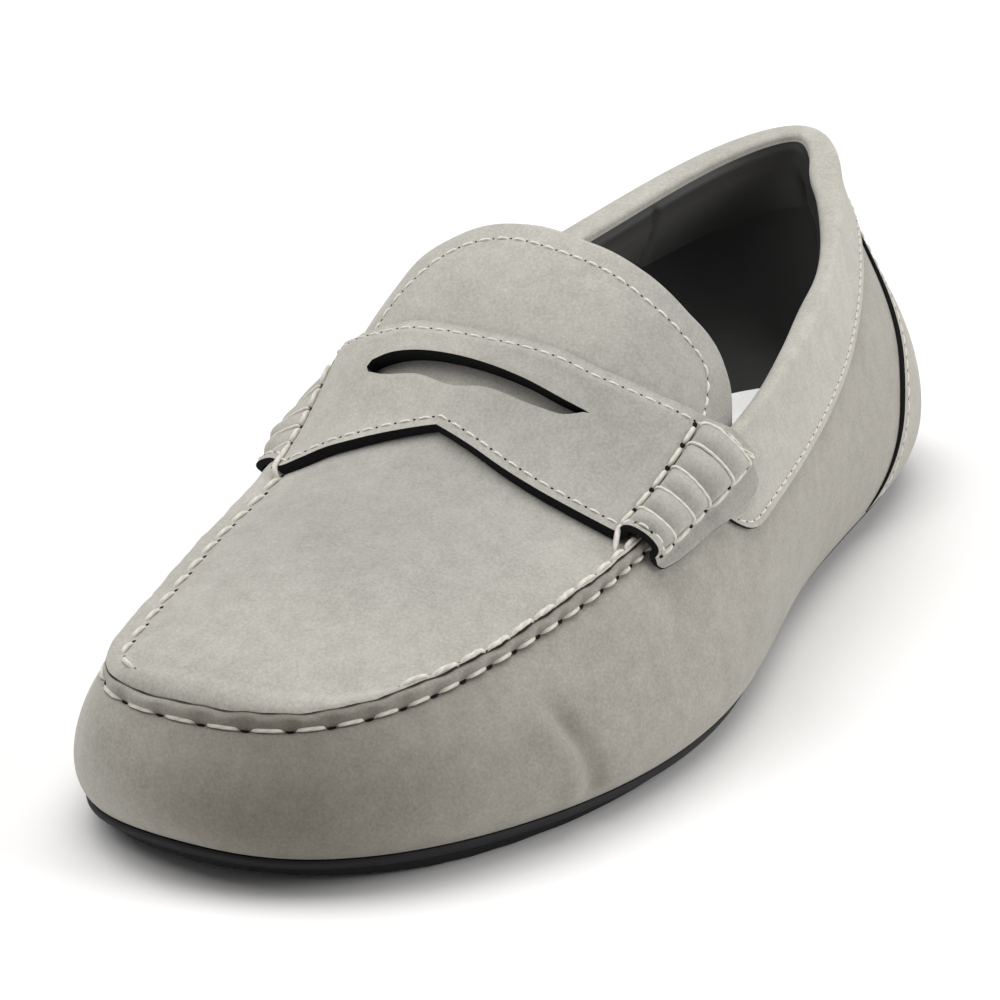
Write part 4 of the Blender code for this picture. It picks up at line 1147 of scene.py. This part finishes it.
sole = {"front": 0.02, "rear": 7.98, "ease": 0.85, "rows": 300, "columns": 121, "gap": 0.3, "plate": 2.3,
        "waistInset": 1.2, "plateRound": 0.7, "podEdge": 2.6, "podSlope": 1.0,
        "forePodRear": 4.0, "heelPodFront": 6.0, "podEnd": 0.05,
        "springFrom": 92.0, "springRun": 38.0, "spring": 2.8,
        "groovePitch": 7.0, "grooveDepth": 0.9, "grooveBorder": 11.0}


def makeOutsole():
    rows = easedRows(sole)
    inset = sole["waistInset"] * smoothStep(3.0, 5.0, rows)[..., None]
    top = soleChord(rows, sineSteps(sole["columns"])[None], inset) - up * sole["gap"]
    outline = np.concatenate([soleChord(rows, 0 * rows + s, inset)[:, 0, :2] for s in (1, -1)])
    flat = top[:, :, None, :2].astype(np.float32)
    far = np.array([np.linalg.norm(line - outline.astype(np.float32), axis=-1).min(1) for line in flat])
    onPod = 1 - smoothStep(sole["forePodRear"], sole["forePodRear"] + sole["podEnd"], rows)
    onPod = onPod + smoothStep(sole["heelPodFront"] - sole["podEnd"], sole["heelPodFront"], rows)
    pod = onPod * smoothStep(sole["podEdge"], sole["podEdge"] + sole["podSlope"], far)
    floor = sole["spring"] * np.clip((top[..., 0] - sole["springFrom"]) / sole["springRun"], 0, 1) ** 2
    plate = top[..., 2] - sole["plate"] + sole["plateRound"] * (1 - smoothStep(0, 1.5, far))
    wave = np.mod(top[..., 0], sole["groovePitch"]) / sole["groovePitch"]
    groove = sole["grooveDepth"] * smoothStep(0.62, 0.7, wave) * smoothStep(1.0, 0.92, wave)
    groove = groove * smoothStep(sole["grooveBorder"], sole["grooveBorder"] + 1.0, far) * (pod > 0.99)
    bottom = top.copy()
    bottom[..., 2] = plate * (1 - pod) + (floor + groove) * pod
    panel("rubberSole", net(far)[..., ::-1], bottom, top, [rubber],
          rings=4, bulge=0.35, replaces=["outsole"], sharp=40.0)


makeVamp()
makeApron()
makeTongue()
makeStrap()
sewStrap()
makeCollar()
makePatch()
makeInsole()
makeOutsole()

# Studio: pale floor, broad light overhead, weak fills, a narrow beam on the heel pad, the photo's angle

lit = (0.0, 0.0, 0.04)
studio = {"floor": "#fcfbfa", "floorSize": 8.0, "world": "#ffffff", "worldStrength": 0.2,
          "lights": {   # kind, place, aim, power, settings
              "leftSoftbox": ("AREA", (0.3, -0.8, 1.3), lit, 11.0, {"shape": "DISK", "size": 1.4}),
              "rightSoftbox": ("AREA", (-0.5, 1.4, 0.8), lit, 13.5, {"shape": "DISK", "size": 1.4}),
              "overheadSoftbox": ("AREA", (-0.15, 0.0, 1.6), lit, 16.0, {"shape": "DISK", "size": 1.6}),
              "heelSnoot": ("SPOT", (0.381, 0.106, 0.623), (-0.1175, -0.0182, 0.0104), 22.0,
                            {"spot_size": math.radians(2.2), "spot_blend": 0.4, "shadow_soft_size": 0.004})}}
view = {"target": (5.9, -3.25, 34.0), "azimuth": 28.0, "elevation": 21.5, "distance": 1200.0,
        "aim": (10.5, -10.4, 33.2), "lens": 214.6, "sensor": 36.0, "clipEnd": 20.0}


def pointAt(thing, place, aim):
    thing.location = place
    thing.rotation_euler = (Vector(aim) - Vector(place)).to_track_quat("-Z", "Y").to_euler()


def makeFloor():
    size = studio["floorSize"] / 2
    mesh = bpy.data.meshes.new("studioFloor")
    corners = [(-size, -size, 0), (size, -size, 0), (size, size, 0), (-size, size, 0)]
    mesh.from_pydata(corners, [], [(0, 1, 2, 3)])
    paper = {"Roughness": 0.9, "Base Color": linear(studio["floor"])}
    mesh.materials.append(newMaterial("paperFloor", paper)[0])
    addObject("studioFloor", mesh)


def addLight(name, kind, place, aim, power, settings):
    light = bpy.data.lights.new(name, kind)
    light.energy = power
    for key, value in settings.items():
        setattr(light, key, value)
    pointAt(addObject(name, light), place, aim)


def makeCamera():
    azimuth = math.radians(view["azimuth"])
    elevation = math.radians(view["elevation"])
    level = math.cos(elevation)
    away = Vector((level * math.cos(azimuth), level * math.sin(azimuth), math.sin(elevation)))
    data = bpy.data.cameras.new("photoCamera")
    data.lens = view["lens"]
    data.sensor_width = view["sensor"]
    data.clip_end = view["clipEnd"]
    camera = addObject("photoCamera", data)
    pointAt(camera, (Vector(view["target"]) + away * view["distance"]) * mm, Vector(view["aim"]) * mm)
    bpy.context.scene.camera = camera


makeFloor()
for name, light in studio["lights"].items():
    addLight(name, *light)
makeCamera()
world = bpy.data.worlds.new("studioWorld")
world.use_nodes = True
background = world.node_tree.nodes["Background"]
background.inputs["Color"].default_value = linear(studio["world"])
background.inputs["Strength"].default_value = studio["worldStrength"]
bpy.context.scene.world = world
bpy.context.scene.view_settings.view_transform = "Standard"
print("studio made")
